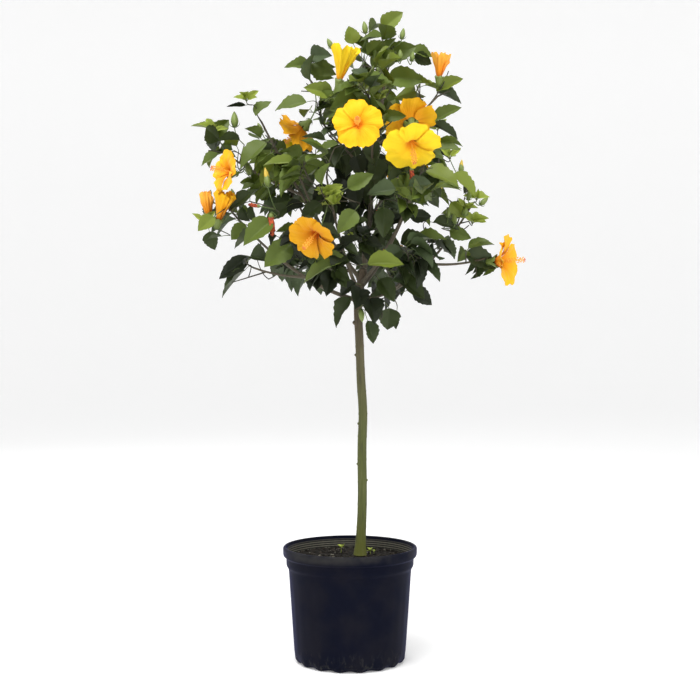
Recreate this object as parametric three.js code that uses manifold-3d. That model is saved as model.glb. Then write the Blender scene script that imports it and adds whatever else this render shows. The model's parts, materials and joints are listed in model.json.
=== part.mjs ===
// Hibiscus standard in a nursery pot, in millimetres, +Z up.
// The origin is the centre of the pot's flat underside. +X is the plant's right, -Y its front.
// A clear stem rises from the potting mix to a round, loose head. The head is built limb by limb:
// each bough ends in one mass of foliage, and every mass grows shoots, leaves and blossoms by
// the same seeded rule inside a space of its own.
import * as THREE from 'three';
import { mergeVertices } from 'three/addons/utils/BufferGeometryUtils.js';
import Module from 'manifold-3d';

const wasm = await Module();
wasm.setup();

// ---- Driving sizes -------------------------------------------------------------------------
const GAP = 0.3; // clearance between pieces that touch
const WELD = 0.001; // points of one skin this close are one point
const TRIM = 0.02; // edges left by a join are tidied away under this size

const pot = {
  height: 238,
  rimRadius: 139.5,
  lipHeight: 20,
  bandRadius: 132.8,
  bandHeight: 20,
  bodyRadius: 128,
  footRadius: 115,
  edgeRound: 9,
  wall: 2,
  floor: 3,
  sides: 32,
  slots: 8,
  slotWidth: 8,
  slotHeight: 17,
  slotReach: 12,
};
const soil = { edgeDepth: 22, crownDepth: 19, flatRadius: 62 };

const trunk = {
  // height of each bend above the ground, with its offset to the right and to the back
  bends: [
    [0, 21, 0],
    [110, 25.5, -2],
    [225, 25, 1],
    [295, 27, 3],
    [365, 23, 3],
    [450, 19.5, 1],
    [525, 17, -1],
    [597, 28, 2],
  ],
  footRadius: 9.9,
  headRadius: 8.6,
  flare: 4.2,
  flareHeight: 22,
  foliageFrom: 380, // no foliage hangs lower than this
  sides: 10,
  rings: 22,
};
// old bud scars on the clear stem: height above the ground, bearing, size
const budScars = [
  [155, -10, 3.2],
  [188, 170, 3],
  [272, 190, 3.4],
  [415, 175, 3.6],
  [482, 185, 5],
];

const crownAxis = 12; // offset of the head's upright axis to the right
const crownHeart = 1000; // height of the head's middle
const BOUGH = { sides: 5, rings: 5 };
const STEM = { sides: 4, rings: 3 };
const SHOOT = { sides: 3, rings: 3, root: 1.6, tip: 1.2, throws: 14 };
const PEDICEL = { root: 1.1, tip: 1.4 };
const goldenAngle = 137.508;

// Each limb runs from its parent to the heart of the mass it bears. The parent is the trunk
// (joined at a height above the ground) or another limb (joined at a share of its run).
// bearing (0 right, 90 back, 180 left, 270 front), reach and height place the heart, sag bows
// the limb down midway, and space is how far its foliage may reach from the heart.
const limbs = [
  { name: 'right', parent: 'trunk', at: 534, bearing: 356, reach: 238, height: 942, sag: 95,
    root: 5, space: 96, shoots: 4 },
  { name: 'left', parent: 'trunk', at: 530, bearing: 184, reach: 262, height: 938, sag: 62,
    root: 4.6, space: 86, shoots: 3 },
  { name: 'front', parent: 'trunk', at: 548, bearing: 251, reach: 178, height: 990, sag: 60,
    root: 4.6, space: 106, shoots: 4 },
  { name: 'back-left', parent: 'trunk', at: 541, bearing: 138, reach: 200, height: 1015, sag: 60,
    root: 4.6, space: 110, shoots: 4 },
  { name: 'back-right', parent: 'trunk', at: 556, bearing: 48, reach: 200, height: 1005, sag: 55,
    root: 4.6, space: 110, shoots: 4 },
  { name: 'left-upper', parent: 'trunk', at: 572, bearing: 181, reach: 196, height: 1120, sag: 40,
    root: 4.4, space: 92, shoots: 3 },
  { name: 'front-right', parent: 'trunk', at: 565, bearing: 308, reach: 196, height: 985, sag: 45,
    root: 4.4, space: 106, shoots: 4 },
  { name: 'top', parent: 'trunk', at: 597, bearing: 5, reach: 68, height: 1262, sag: 0,
    root: 6, space: 106, shoots: 5 },
  { name: 'low-hanging', parent: 'trunk', at: 512, bearing: 318, reach: 62, height: 742, sag: -14,
    root: 2.6, space: 88, shoots: 3, boughless: true },
  { name: 'right-tip', parent: 'right', at: 0.62, bearing: 357, reach: 268, height: 836, sag: 12,
    root: 3.2, space: 74, shoots: 3 },
  { name: 'right-low', parent: 'right', at: 0.3, bearing: 330, reach: 142, height: 832, sag: 14,
    root: 3.4, space: 96, shoots: 3 },
  { name: 'left-low', parent: 'left', at: 0.42, bearing: 192, reach: 214, height: 816, sag: 10,
    root: 3.2, space: 90, shoots: 3 },
  { name: 'front-low', parent: 'front', at: 0.3, bearing: 243, reach: 148, height: 846, sag: 10,
    root: 3.2, space: 98, shoots: 3 },
  { name: 'back-low-left', parent: 'back-left', at: 0.32, bearing: 128, reach: 160, height: 842,
    sag: 10, root: 3.2, space: 100, shoots: 3 },
  { name: 'back-low-right', parent: 'back-right', at: 0.32, bearing: 60, reach: 160, height: 838,
    sag: 10, root: 3.2, space: 100, shoots: 3 },
  { name: 'left-outer', parent: 'left-upper', at: 0.6, bearing: 186, reach: 270, height: 1052,
    sag: 12, root: 3, space: 84, shoots: 4 },
  { name: 'inner-left', parent: 'left-upper', at: 0.42, bearing: 205, reach: 138, height: 1030,
    sag: 8, root: 3, space: 84, shoots: 3 },
  { name: 'front-upper', parent: 'top', at: 0.3, bearing: 283, reach: 150, height: 1130, sag: 20,
    root: 3.4, space: 96, shoots: 3 },
  { name: 'back-upper', parent: 'top', at: 0.36, bearing: 84, reach: 157, height: 1160, sag: 22,
    root: 3.4, space: 104, shoots: 4 },
  { name: 'inner-upper', parent: 'top', at: 0.42, bearing: 200, reach: 70, height: 1112, sag: 6,
    root: 3, space: 88, shoots: 3 },
  { name: 'inner-right', parent: 'top', at: 0.24, bearing: 12, reach: 118, height: 1060, sag: 14,
    root: 3, space: 90, shoots: 3 },
  { name: 'inner-low', parent: 'top', at: 0.07, bearing: 292, reach: 84, height: 912, sag: 4,
    root: 3, space: 98, shoots: 3 },
  { name: 'left-top', parent: 'top', at: 0.52, bearing: 185, reach: 96, height: 1208, sag: 14,
    root: 3.4, space: 90, shoots: 3 },
  { name: 'right-top', parent: 'top', at: 0.58, bearing: 355, reach: 170, height: 1172, sag: 16,
    root: 3.4, space: 98, shoots: 4 },
  { name: 'front-top', parent: 'top', at: 0.64, bearing: 305, reach: 96, height: 1196, sag: 12,
    root: 3, space: 84, shoots: 3 },
];
const limbTip = 2.3; // radius of every bough where its foliage begins
const stemTip = 2;
const stemShare = 0.72; // length of the leafy stem in front of the heart, as a share of space

// The leaf: an ovate blade on a stalk, folded a little along its midrib.
const leafSize = { length: 72, width: 0.62, stalk: 20, keel: 1.8 };
const leavesOnShoot = 6;
const leafRetries = 9;

// Blossoms: the mass each one grows from, where its cup sits (bearing, reach and height about
// the head's axis), which way it faces (bearing and rise), how far it is open, and its size.
const blossoms = [
  { mass: 'front-upper', bearing: 270, reach: 200, height: 1090, faces: [268, 8], open: 1, size: 1.1 },
  { mass: 'front-right', bearing: 299, reach: 218, height: 1058, faces: [276, -24], open: 1,
    size: 1.13 },
  { mass: 'front', bearing: 247, reach: 210, height: 884, faces: [255, -28], open: 0.9, size: 0.98 },
  { mass: 'left-outer', bearing: 198, reach: 262, height: 1020, faces: [214, 8], open: 0.85,
    size: 0.9 },
  { mass: 'left', bearing: 194, reach: 262, height: 950, faces: [200, 30], open: 0.42, size: 0.85 },
  { mass: 'left', bearing: 187, reach: 290, height: 966, faces: [168, 14], open: 0.4, size: 0.7 },
  { mass: 'right-tip', bearing: 356, reach: 312, height: 828, faces: [355, 6], open: 1, size: 1.02 },
  { mass: 'left-top', bearing: 208, reach: 136, height: 1112, faces: [150, -35], open: 0.7,
    size: 0.85 },
  { mass: 'top', bearing: 260, reach: 62, height: 1222, faces: [215, 52], open: 0.45, size: 0.9 },
  { mass: 'right-top', bearing: 318, reach: 148, height: 1118, faces: [110, 48], open: 0.9,
    size: 0.9 },
  { mass: 'right-top', bearing: 357, reach: 172, height: 1218, faces: [330, 76], open: 0.14,
    size: 0.7 },
  { mass: 'back-left', bearing: 128, reach: 240, height: 1052, faces: [132, 10], open: 1, size: 1 },
  { mass: 'back-right', bearing: 62, reach: 232, height: 1030, faces: [58, 5], open: 1, size: 1.04 },
  { mass: 'back-upper', bearing: 88, reach: 196, height: 1146, faces: [100, 30], open: 0.95,
    size: 0.95 },
  { mass: 'back-low-left', bearing: 118, reach: 208, height: 876, faces: [115, -18], open: 0.9,
    size: 0.92 },
  { mass: 'back-low-right', bearing: 72, reach: 214, height: 846, faces: [60, 12], open: 0.45,
    size: 0.85 },
];
const bloom = {
  cup: 4.5, // radius of the throat
  petal: 58, // length of a petal from the throat
  bend: 0.45, // share of the petal that stays in the funnel
  cleft: 0.78, // share of the petal's outer part at the clefts
  openAngle: 96, // angle of a fully open petal's outer part from the axis
  thickness: 1.6,
  calyx: 16, // length of the green tube behind the petals
  column: 66,
  columnRadius: 1.9,
  clearance: 42, // how far leaves keep out of the way in front
};

// ---- Small helpers -------------------------------------------------------------------------
const UP = new THREE.Vector3(0, 0, 1);
const point = (x, y, z) => new THREE.Vector3(x, y, z);
const turn = (degrees) => THREE.MathUtils.degToRad(degrees);
const mix = (from, to, share) => from + (to - from) * share;

/** A vector that is the weighted sum of others: blend([a, 1], [b, 0.5]). */
function blend(...pairs) {
  const sum = point(0, 0, 0);
  for (const [vector, weight] of pairs) sum.addScaledVector(vector, weight);
  return sum;
}

/** The unit vector at a bearing round the plant and a rise above level, in degrees. */
function aim(bearing, rise) {
  const level = Math.cos(turn(rise));
  return point(Math.cos(turn(bearing)) * level, Math.sin(turn(bearing)) * level, Math.sin(turn(rise)));
}

/** A place in the head, from its bearing, its reach from the head's axis and its height. */
function crownPlace({ bearing, reach, height }) {
  return aim(bearing, 0).multiplyScalar(reach).add(point(crownAxis, 0, height));
}

/** The level way out of the head at a place. */
const outwardFrom = (place) => point(place.x - crownAxis, place.y, 0).normalize();

/** Two unit vectors square to a direction, the first as near to upright as it can be. */
function crossFrame(direction) {
  const helper = Math.abs(direction.z) > 0.95 ? point(1, 0, 0) : UP;
  const first = blend([helper, 1], [direction, -helper.dot(direction)]).normalize();
  return [first, point(0, 0, 0).crossVectors(direction, first)];
}

/** Seeded dice: the same seed always throws the same numbers. */
class Dice {
  constructor(seed) {
    this.state = seed * 7919 + 12345;
    for (let warmUp = 0; warmUp < 4; warmUp += 1) this.throw();
  }

  throw() {
    this.state = (this.state * 1664525 + 1013904223) % 4294967296;
    return this.state / 4294967296;
  }

  between(low, high) {
    return mix(low, high, this.throw());
  }
}

/** A curve with one elbow. */
class Bow {
  constructor(start, elbow, end) {
    Object.assign(this, { start, elbow, end });
  }

  at(t) {
    return blend([this.start, (1 - t) * (1 - t)], [this.elbow, 2 * t * (1 - t)], [this.end, t * t]);
  }

  tangent(t) {
    const way = blend([this.start, t - 1], [this.elbow, 1 - 2 * t], [this.end, t]);
    return way.normalize();
  }
}

/** Steps from one share of a curve to another, ends included. */
function shares(from, to, count) {
  return Array.from({ length: count }, (_, index) => mix(from, to, index / (count - 1)));
}

// ---- Solids from points --------------------------------------------------------------------
/** A closed geometry from a list of points and a list of triangles. */
function facetGeometry(points, triangles) {
  const geometry = new THREE.BufferGeometry();
  geometry.setAttribute('position', new THREE.Float32BufferAttribute(points.flatMap((p) => p.toArray()), 3));
  geometry.setIndex(triangles.flat());
  return geometry;
}

/** A tapering limb through rings of the given radii, flat and closed at both ends. */
function limbGeometry(rings, sides) {
  const points = [];
  const triangles = [];
  let side = crossFrame(rings[0].way)[0];
  rings.forEach(({ centre, way, radius }, row) => {
    side = blend([side, 1], [way, -side.dot(way)]).normalize();
    const other = point(0, 0, 0).crossVectors(way, side);
    for (let corner = 0; corner < sides; corner += 1) {
      const angle = (corner / sides) * Math.PI * 2;
      points.push(blend([centre, 1], [side, Math.cos(angle) * radius], [other, Math.sin(angle) * radius]));
    }
    if (row === 0) return;
    for (let corner = 0; corner < sides; corner += 1) {
      const next = (corner + 1) % sides;
      const [a, b] = [(row - 1) * sides + corner, (row - 1) * sides + next];
      const [c, d] = [row * sides + next, row * sides + corner];
      triangles.push([a, b, c], [a, c, d]);
    }
  });
  const last = (rings.length - 1) * sides;
  for (let corner = 1; corner < sides - 1; corner += 1) {
    triangles.push([0, corner + 1, corner], [last, last + corner, last + corner + 1]);
  }
  return facetGeometry(points, triangles);
}

/** Rings along a curve between two shares of it, with a radius that changes evenly. */
function ringsAlong(curve, from, to, count, rootRadius, tipRadius) {
  return shares(from, to, count).map((t, index) => ({
    centre: curve.at(t),
    way: curve.tangent(t),
    radius: mix(rootRadius, tipRadius, index / (count - 1)),
  }));
}

/** A solid that can be joined and cut, from a closed geometry. */
function solid(geometry) {
  const bare = geometry.clone();
  bare.deleteAttribute('normal');
  bare.deleteAttribute('uv');
  const merged = mergeVertices(bare, WELD);
  return new wasm.Manifold(new wasm.Mesh({
    numProp: 3,
    vertProperties: new Float32Array(merged.attributes.position.array),
    triVerts: new Uint32Array(merged.index.array),
  }));
}

/** The geometry of a solid's largest body, with scraps and sealed hollows left behind. */
function largestBody(joined) {
  let bodies = joined.simplify(TRIM).decompose();
  let geometry = null;
  do {
    const body = bodies.reduce((best, next) => (next.volume() > best.volume() ? next : best));
    const { vertProperties, triVerts } = body.getMesh();
    geometry = new THREE.BufferGeometry();
    geometry.setAttribute('position', new THREE.BufferAttribute(vertProperties, 3));
    geometry.setIndex(new THREE.BufferAttribute(triVerts, 1));
    bodies = solid(geometry).decompose();
  } while (bodies.length > 1);
  return geometry;
}

// ---- The trunk and the limbs ---------------------------------------------------------------
const groundHeight = pot.height - soil.crownDepth + GAP;
const trunkHeight = trunk.bends.at(-1)[0];

/** The trunk's middle at a height above the ground, with the way it grows there. */
const trunkLine = {
  // a smooth line through the bends: each stretch is a cubic between two of them
  at(height) {
    const bends = trunk.bends;
    const last = bends.length - 2;
    const stretch = Math.min(last, bends.filter((bend) => bend[0] <= height).length - 1);
    const [low, high] = [bends[Math.max(stretch, 0)], bends[stretch + 1]];
    const before = bends[stretch - 1] ?? low;
    const after = bends[stretch + 2] ?? high;
    const share = (height - low[0]) / (high[0] - low[0]);
    const offset = (axis) => {
      const slopeIn = (high[axis] - before[axis]) / (high[0] - before[0]);
      const slopeOut = (after[axis] - low[axis]) / (after[0] - low[0]);
      const span = high[0] - low[0];
      return (2 * share ** 3 - 3 * share ** 2 + 1) * low[axis]
        + (share ** 3 - 2 * share ** 2 + share) * span * slopeIn
        + (3 * share ** 2 - 2 * share ** 3) * high[axis]
        + (share ** 3 - share ** 2) * span * slopeOut;
    };
    return point(offset(1), offset(2), groundHeight + height);
  },

  tangent(height) {
    const low = Math.max(height - 1, 0);
    const high = Math.min(height + 1, trunkHeight);
    return this.at(high).sub(this.at(low)).normalize();
  },
};

function trunkRadius(height) {
  const taper = mix(trunk.footRadius, trunk.headRadius, height / trunkHeight);
  return taper + trunk.flare * Math.exp(-height / trunk.flareHeight);
}

/** The trunk's rings, grown all round by a margin where it is used as a cutter. */
function trunkRings(margin) {
  const heights = shares(0, 1, trunk.rings).map((share) => trunkHeight * share ** 1.25);
  const rings = heights.map((height) => ({
    centre: trunkLine.at(height),
    way: trunkLine.tangent(height),
    radius: trunkRadius(height) + margin,
  }));
  rings[0].way = UP; // the flat cut at ground level
  return rings;
}

function trunkGeometry() {
  const pieces = [solid(limbGeometry(trunkRings(0), trunk.sides))];
  for (const [height, bearing, size] of budScars) {
    const scar = new THREE.SphereGeometry(size, 6, 4);
    const seat = trunkLine.at(height).addScaledVector(aim(bearing, 0), trunkRadius(height) - size * 0.3);
    scar.scale(0.8, 0.8, 1.1).translate(seat.x, seat.y, seat.z);
    pieces.push(solid(scar));
  }
  return largestBody(wasm.Manifold.union(pieces));
}

/** Works out each limb's run: from its parent's middle to the heart of its mass. */
function layOutLimbs() {
  const laid = new Map();
  for (const limb of limbs) {
    const onTrunk = limb.parent === 'trunk';
    const atTrunkTip = onTrunk && limb.at === trunkHeight;
    const start = onTrunk ? trunkLine.at(limb.at) : laid.get(limb.parent).curve.at(limb.at);
    if (atTrunkTip) start.addScaledVector(trunkLine.tangent(limb.at), GAP);
    const heart = crownPlace(limb);
    const elbow = blend([start, 0.5], [heart, 0.5], [UP, -limb.sag]);
    const curve = new Bow(start, elbow, heart);
    // the bough is the part of the run outside its foliage, the leafy stem the part inside
    const entry = Math.max(1 - (limb.space * stemShare) / start.distanceTo(heart), 0.3);
    const outward = heart.clone().sub(point(crownAxis, 0, crownHeart)).normalize();
    laid.set(limb.name, { ...limb, curve, heart, outward, entry: limb.boughless ? 0 : entry });
  }
  return laid;
}

const laidLimbs = layOutLimbs();

function limbRadius(limb, t) {
  if (t < limb.entry) return mix(limb.root, limbTip, t / limb.entry);
  return mix(limb.entry > 0 ? limbTip : limb.root, stemTip, (t - limb.entry) / (1 - limb.entry));
}

/** The solid of whatever a limb leaves from, grown by the clearance between them. */
function parentCutter(limb) {
  if (limb.parent === 'trunk') return solid(limbGeometry(trunkRings(GAP), trunk.sides));
  const parent = laidLimbs.get(limb.parent);
  const rings = ringsAlong(parent.curve, 0, parent.entry, BOUGH.rings, parent.root + GAP, limbTip + GAP);
  return solid(limbGeometry(rings, BOUGH.sides));
}

function boughGeometry(limb) {
  const rings = ringsAlong(limb.curve, 0, limb.entry, BOUGH.rings, limb.root, limbTip);
  const whole = solid(limbGeometry(rings, BOUGH.sides));
  if (limb.parent === 'trunk' && limb.at === trunkHeight) return largestBody(whole);
  return largestBody(whole.subtract(parentCutter(limb)));
}

// ---- The space of each mass ----------------------------------------------------------------
/** The distance from a point to the stretch between two others. */
function distanceToStretch(place, from, to) {
  const way = to.clone().sub(from);
  const along = THREE.MathUtils.clamp(place.clone().sub(from).dot(way) / way.lengthSq(), 0, 1);
  return place.distanceTo(from.clone().addScaledVector(way, along));
}

/** Straight stretches between places along a line, each with the radius at its start. */
function stretchesAlong(owner, stops, placeAt, radiusAt, leafyAt = () => false) {
  return stops.slice(1).map((stop, index) => ({
    owner,
    leafy: leafyAt(stops[index]),
    from: placeAt(stops[index]),
    to: placeAt(stop),
    radius: radiusAt(stops[index]),
  }));
}

/** What foliage keeps clear of: the trunk beside it and the limbs. Pedicels are added below. */
const obstacles = [
  ...stretchesAlong('trunk', shares(trunk.foliageFrom, trunkHeight, 9),
    (height) => trunkLine.at(height), trunkRadius),
  ...[...laidLimbs.values()].flatMap((limb) => stretchesAlong(limb.name, shares(0, 1, 13),
    (t) => limb.curve.at(t), (t) => limbRadius(limb, t), (t) => t >= limb.entry - 1e-6)),
];

/** Each blossom's cup, facing, and the depth and half width of the room that it needs. */
const laidBlossoms = blossoms.map((flower) => ({
  ...flower,
  cup: crownPlace(flower),
  facing: aim(...flower.faces),
  depth: bloom.petal * flower.size * mix(1, 0.45, flower.open),
  reach: bloom.petal * flower.size * mix(0.35, 0.95, flower.open),
}));

/** Whether a ball touches a blossom's funnel or the clear room in front of it. */
function touchesBlossom(flower, place, margin) {
  const off = place.clone().sub(flower.cup);
  const ahead = off.dot(flower.facing);
  const clear = flower.depth + (flower.open > 0.8 ? bloom.clearance : 8);
  if (ahead < -bloom.calyx * flower.size - margin || ahead > clear + margin) return false;
  const aside = off.addScaledVector(flower.facing, -ahead).length();
  const width = mix(bloom.cup, flower.reach, THREE.MathUtils.clamp(ahead / flower.depth, 0, 1));
  return aside < width + margin;
}

/** Whether a ball of the given radius stays in a mass's own space. */
function inSpace(limb, place, margin) {
  if (place.distanceTo(limb.heart) > limb.space - margin) return false;
  for (const other of laidLimbs.values()) {
    if (other.name === limb.name) continue;
    const way = other.heart.clone().sub(limb.heart);
    const middle = (other.heart.lengthSq() - limb.heart.lengthSq() + limb.space ** 2 - other.space ** 2) / 2;
    if ((middle - way.dot(place)) / way.length() < margin + 0.4) return false;
  }
  return true;
}

/** Whether a ball keeps clear of every limb but its own leafy stem, and of every blossom. */
function clearOfOthers(limb, place, margin) {
  for (const stretch of obstacles) {
    if (stretch.owner === limb.name && stretch.leafy) continue;
    if (distanceToStretch(place, stretch.from, stretch.to) < stretch.radius + margin + 1) return false;
  }
  return !laidBlossoms.some((flower) => touchesBlossom(flower, place, margin + 1));
}

const fits = (limb, place, margin) => inSpace(limb, place, 1) && clearOfOthers(limb, place, margin);

// ---- Shoots, leaves and blossoms -----------------------------------------------------------
/**
 * The shoots of a mass. The first carries the stem on; the others leave its sides. Each is the
 * best of several throws: the one that fits and ends furthest from the shoots before it.
 */
function growShoots(limb, dice) {
  const shoots = [];
  for (let index = 0; index < limb.shoots; index += 1) {
    const from = index === 0 ? 1 : mix(mix(limb.entry, 1, 0.25), 0.95, (index - 1) / (limb.shoots - 1));
    const start = limb.curve.at(from);
    const ahead = limb.curve.tangent(from);
    let best = null;
    for (let attempt = 0; attempt < SHOOT.throws; attempt += 1) {
      const spread = aim(dice.between(0, 360), dice.between(-50, 75));
      const length = limb.space * dice.between(0.42, 0.66);
      const carriedOn = index === 0 ? 1 : 0;
      const way = blend([spread, 1], [limb.outward, 0.35], [UP, 0.1], [ahead, carriedOn]).normalize();
      const tip = blend([limb.heart, 1], [way, length]);
      const run = start.distanceTo(tip);
      const elbow = blend([start, 1], [ahead, run * 0.3], [way, run * 0.3], [UP, -run * 0.08]);
      const curve = new Bow(start, elbow, tip);
      const fitting = run > 25 && shares(0.35, 1, 5).every((t) => fits(limb, curve.at(t), 2));
      const apart = Math.min(limb.space, ...shoots.map((other) => other.curve.end.distanceTo(tip)));
      if (fitting && apart > (best?.apart ?? 20)) best = { curve, apart };
    }
    const phase = dice.between(0, 360);
    if (best) shoots.push({ curve: best.curve, phase });
  }
  return shoots;
}

/** One leaf: where its stalk leaves the shoot, its blade's frame and its size. */
function layLeaf(start, shootWay, angle, age, look) {
  const [first, second] = crossFrame(shootWay);
  const aside = blend([first, Math.cos(turn(angle))], [second, Math.sin(turn(angle))]);
  const outward = outwardFrom(start);
  const length = leafSize.length * mix(0.5, 1, age) * look.size;
  const stalkWay = blend([shootWay, 0.55], [aside, 0.8], [outward, 0.15], [UP, 0.1]).normalize();
  const base = blend([start, 1], [stalkWay, leafSize.stalk * mix(0.45, 1, age) * look.size]);
  const axis = blend([aside, 0.8], [shootWay, 0.3], [outward, 0.3], [UP, -look.droop]).normalize();
  // the blade faces the light: up, and out from the head
  const light = blend([UP, 0.7], [outward, 0.75]);
  const face = blend([light, 1], [axis, -light.dot(axis)]).normalize();
  const flat = point(0, 0, 0).crossVectors(axis, face);
  const normal = blend([face, Math.cos(look.roll)], [flat, Math.sin(look.roll)]);
  const side = point(0, 0, 0).crossVectors(axis, normal);
  return { start, base, axis, side, normal, length, width: length * leafSize.width, curl: look.curl };
}

/** A point of the blade: share along the midrib and share of the half width. */
function bladePoint(leaf, along, across) {
  const sink = leaf.curl * leaf.length * along * along;
  return blend([leaf.base, 1], [leaf.axis, along * leaf.length], [leaf.side, (across * leaf.width) / 2],
    [leaf.normal, -sink]);
}

/** The blade's outline, [share along the midrib, share of the half width] from right to left. */
const leafRim = [[0.3, 1], [0.68, 0.68], [1, 0], [0.68, -0.68], [0.3, -1]];

/** Balls that cover the blade: share along, share of the half width, radius as a share of it. */
const leafCover = [
  [-0.1, 0, 0.06], [0.08, 0, 0.25], [1, 0, 0.08],
  ...[[0.26, 0.5, 0.42], [0.48, 0.45, 0.42], [0.7, 0.3, 0.34]].flatMap(([along, across, share]) => [
    [along, across, share], [along, -across, share]]),
  [0.88, 0, 0.22], [0.3, 1, 0.04], [0.3, -1, 0.04],
];

/** A leaf's flat triangles and straight stretches, for telling whether two leaves cross. */
function leafFacets(leaf) {
  const rim = leafRim.map(([along, across]) => bladePoint(leaf, along, across));
  const outline = [leaf.base, ...rim];
  const middle = bladePoint(leaf, 0.45, 0);
  const edges = outline.map((corner, index) => [corner, outline[(index + 1) % outline.length]]);
  return {
    middle,
    triangles: edges.map(([from, to]) => [middle, from, to]),
    stretches: [...edges, [leaf.start.clone().lerp(leaf.base, 0.35), leaf.base], [leaf.base, middle]],
  };
}

/** Whether a straight stretch cuts a triangle. */
function cuts([from, to], [a, b, c]) {
  const ray = new THREE.Ray(from, to.clone().sub(from).normalize());
  const hit = ray.intersectTriangle(a, b, c, false, point(0, 0, 0));
  return hit !== null && hit.distanceTo(from) < from.distanceTo(to);
}

/** Whether a leaf crosses a leaf or a twig that its mass already has. */
function crossesOwn(facets, grown, length) {
  const { triangles, stretches, middle } = facets;
  for (const other of grown.leaves) {
    if (other.middle.distanceTo(middle) > length * 1.6) continue;
    if (other.triangles.some((facet) => stretches.some((stretch) => cuts(stretch, facet)))) return true;
    if (other.stretches.some((stretch) => triangles.some((facet) => cuts(stretch, facet)))) return true;
  }
  return grown.twigs.some((twig) => triangles.some((facet) => cuts(twig, facet)));
}

/** Whether a leaf stays in its mass's space and clear of limbs and blossoms. */
function leafFits(limb, leaf) {
  if (!leafRim.every(([along, across]) => inSpace(limb, bladePoint(leaf, along, across), 1))) return false;
  // balls that cover the blade, wide ones at its shoulders and small ones at its rim
  return leafCover.every(([along, across, share]) =>
    clearOfOthers(limb, bladePoint(leaf, along, across), (share * leaf.width) / 2));
}

/** The leaves of one shoot, at the golden angle round it and closer towards its tip. */
function growLeaves(limb, shoot, grown, dice) {
  const leaves = [];
  for (let index = 0; index < leavesOnShoot; index += 1) {
    const along = mix(0.3, 1, (index / (leavesOnShoot - 1)) ** 0.7);
    const age = 1 - 0.5 * (index / (leavesOnShoot - 1)) ** 2;
    const look = {
      size: dice.between(0.86, 1.14),
      droop: dice.between(0.2, 0.95),
      roll: dice.between(-0.45, 0.45),
      curl: dice.between(0.08, 0.2),
    };
    for (let retry = 0; retry < leafRetries; retry += 1) {
      const angle = shoot.phase + index * goldenAngle + retry * 47;
      const leaf = layLeaf(shoot.curve.at(along), shoot.curve.tangent(along), angle, age, look);
      const facets = leafFacets(leaf);
      if (leafFits(limb, leaf) && !crossesOwn(facets, grown, leaf.length)) {
        leaves.push(leaf);
        grown.leaves.push(facets);
        break;
      }
      look.size *= 0.97;
    }
  }
  return leaves;
}

/** A leaf as one closed solid: a flat-topped blade with a keel, its foot sunk in the shoot. */
function leafGeometry(leaf) {
  const rim = leafRim.map(([along, across]) => bladePoint(leaf, along, across));
  const keelPoint = blend([bladePoint(leaf, leafRim[0][0], 0), 1], [leaf.normal, -leafSize.keel]);
  const [foot, right, rightEnd, tip, leftEnd, left, keel] = [0, 1, 2, 3, 4, 5, 6];
  return facetGeometry([leaf.start, ...rim, keelPoint], [
    [foot, right, left], [right, rightEnd, leftEnd], [right, leftEnd, left], [rightEnd, tip, leftEnd],
    [right, foot, keel], [rightEnd, right, keel], [tip, rightEnd, keel],
    [leftEnd, tip, keel], [left, leftEnd, keel], [foot, left, keel],
  ]);
}

/** Triangles that join two rings of points, whose numbers of corners may differ. */
function bridge(near, nearCount, far, farCount) {
  const [nearSteps, farSteps] = [nearCount, farCount].map((count) => (count > 1 ? count : 0));
  const triangles = [];
  let [low, high] = [0, 0];
  while (low < nearSteps || high < farSteps) {
    const nearCorner = near + (low % nearCount);
    const farCorner = far + (high % farCount);
    if (high >= farSteps || (low < nearSteps && (low + 1) * farSteps <= (high + 1) * nearSteps)) {
      low += 1;
      triangles.push([nearCorner, near + (low % nearCount), farCorner]);
    } else {
      high += 1;
      triangles.push([nearCorner, far + (high % farCount), farCorner]);
    }
  }
  return triangles;
}

/** A closed skin over rings round one axis: each ring is [corners, radius, ahead] of its own. */
function ringSkin(origin, axis, rings) {
  const [first, second] = crossFrame(axis);
  const points = [];
  const triangles = [];
  let previous = null;
  for (const { corners, radius, ahead } of rings) {
    const start = points.length;
    for (let corner = 0; corner < corners; corner += 1) {
      const around = (corner / corners) * Math.PI * 2;
      const [out, forward] = [radius(corner), ahead(corner)];
      points.push(blend([origin, 1], [axis, forward], [first, Math.cos(around) * out],
        [second, Math.sin(around) * out]));
    }
    if (previous) triangles.push(...bridge(previous.start, previous.corners, start, corners));
    previous = { start, corners };
  }
  return facetGeometry(points, triangles);
}

/** A blossom: calyx, a funnel that opens into five petals, and the column in its middle. */
function blossomGeometry(flower) {
  const reach = bloom.petal * flower.size;
  const angle = turn(bloom.openAngle * flower.open);
  const funnel = reach * bloom.bend;
  const bend = [bloom.cup + funnel * Math.sin(angle * 0.45), funnel * Math.cos(angle * 0.45)];
  // the petals' ends reach further than the clefts between them
  const lip = (corner) => (reach - funnel) * (corner % 2 === 0 ? 1 : bloom.cleft);
  const ring = (corners, radius, ahead) => ({ corners, radius: () => radius, ahead: () => ahead });
  const column = flower.open > 0.3 ? bloom.column * flower.size : bend[1];
  return ringSkin(flower.cup, flower.facing, [
    ring(1, 0, -bloom.calyx * flower.size),
    ring(5, bloom.cup, 0),
    ring(5, ...bend),
    {
      corners: 10,
      radius: (corner) => bend[0] + lip(corner) * Math.sin(angle),
      ahead: (corner) => bend[1] + lip(corner) * Math.cos(angle),
    },
    ring(5, bend[0] - bloom.thickness * 0.6, bend[1] + bloom.thickness * 0.8),
    ring(5, bloom.columnRadius, bloom.thickness * 2),
    ring(1, 0, column),
  ]);
}

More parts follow.
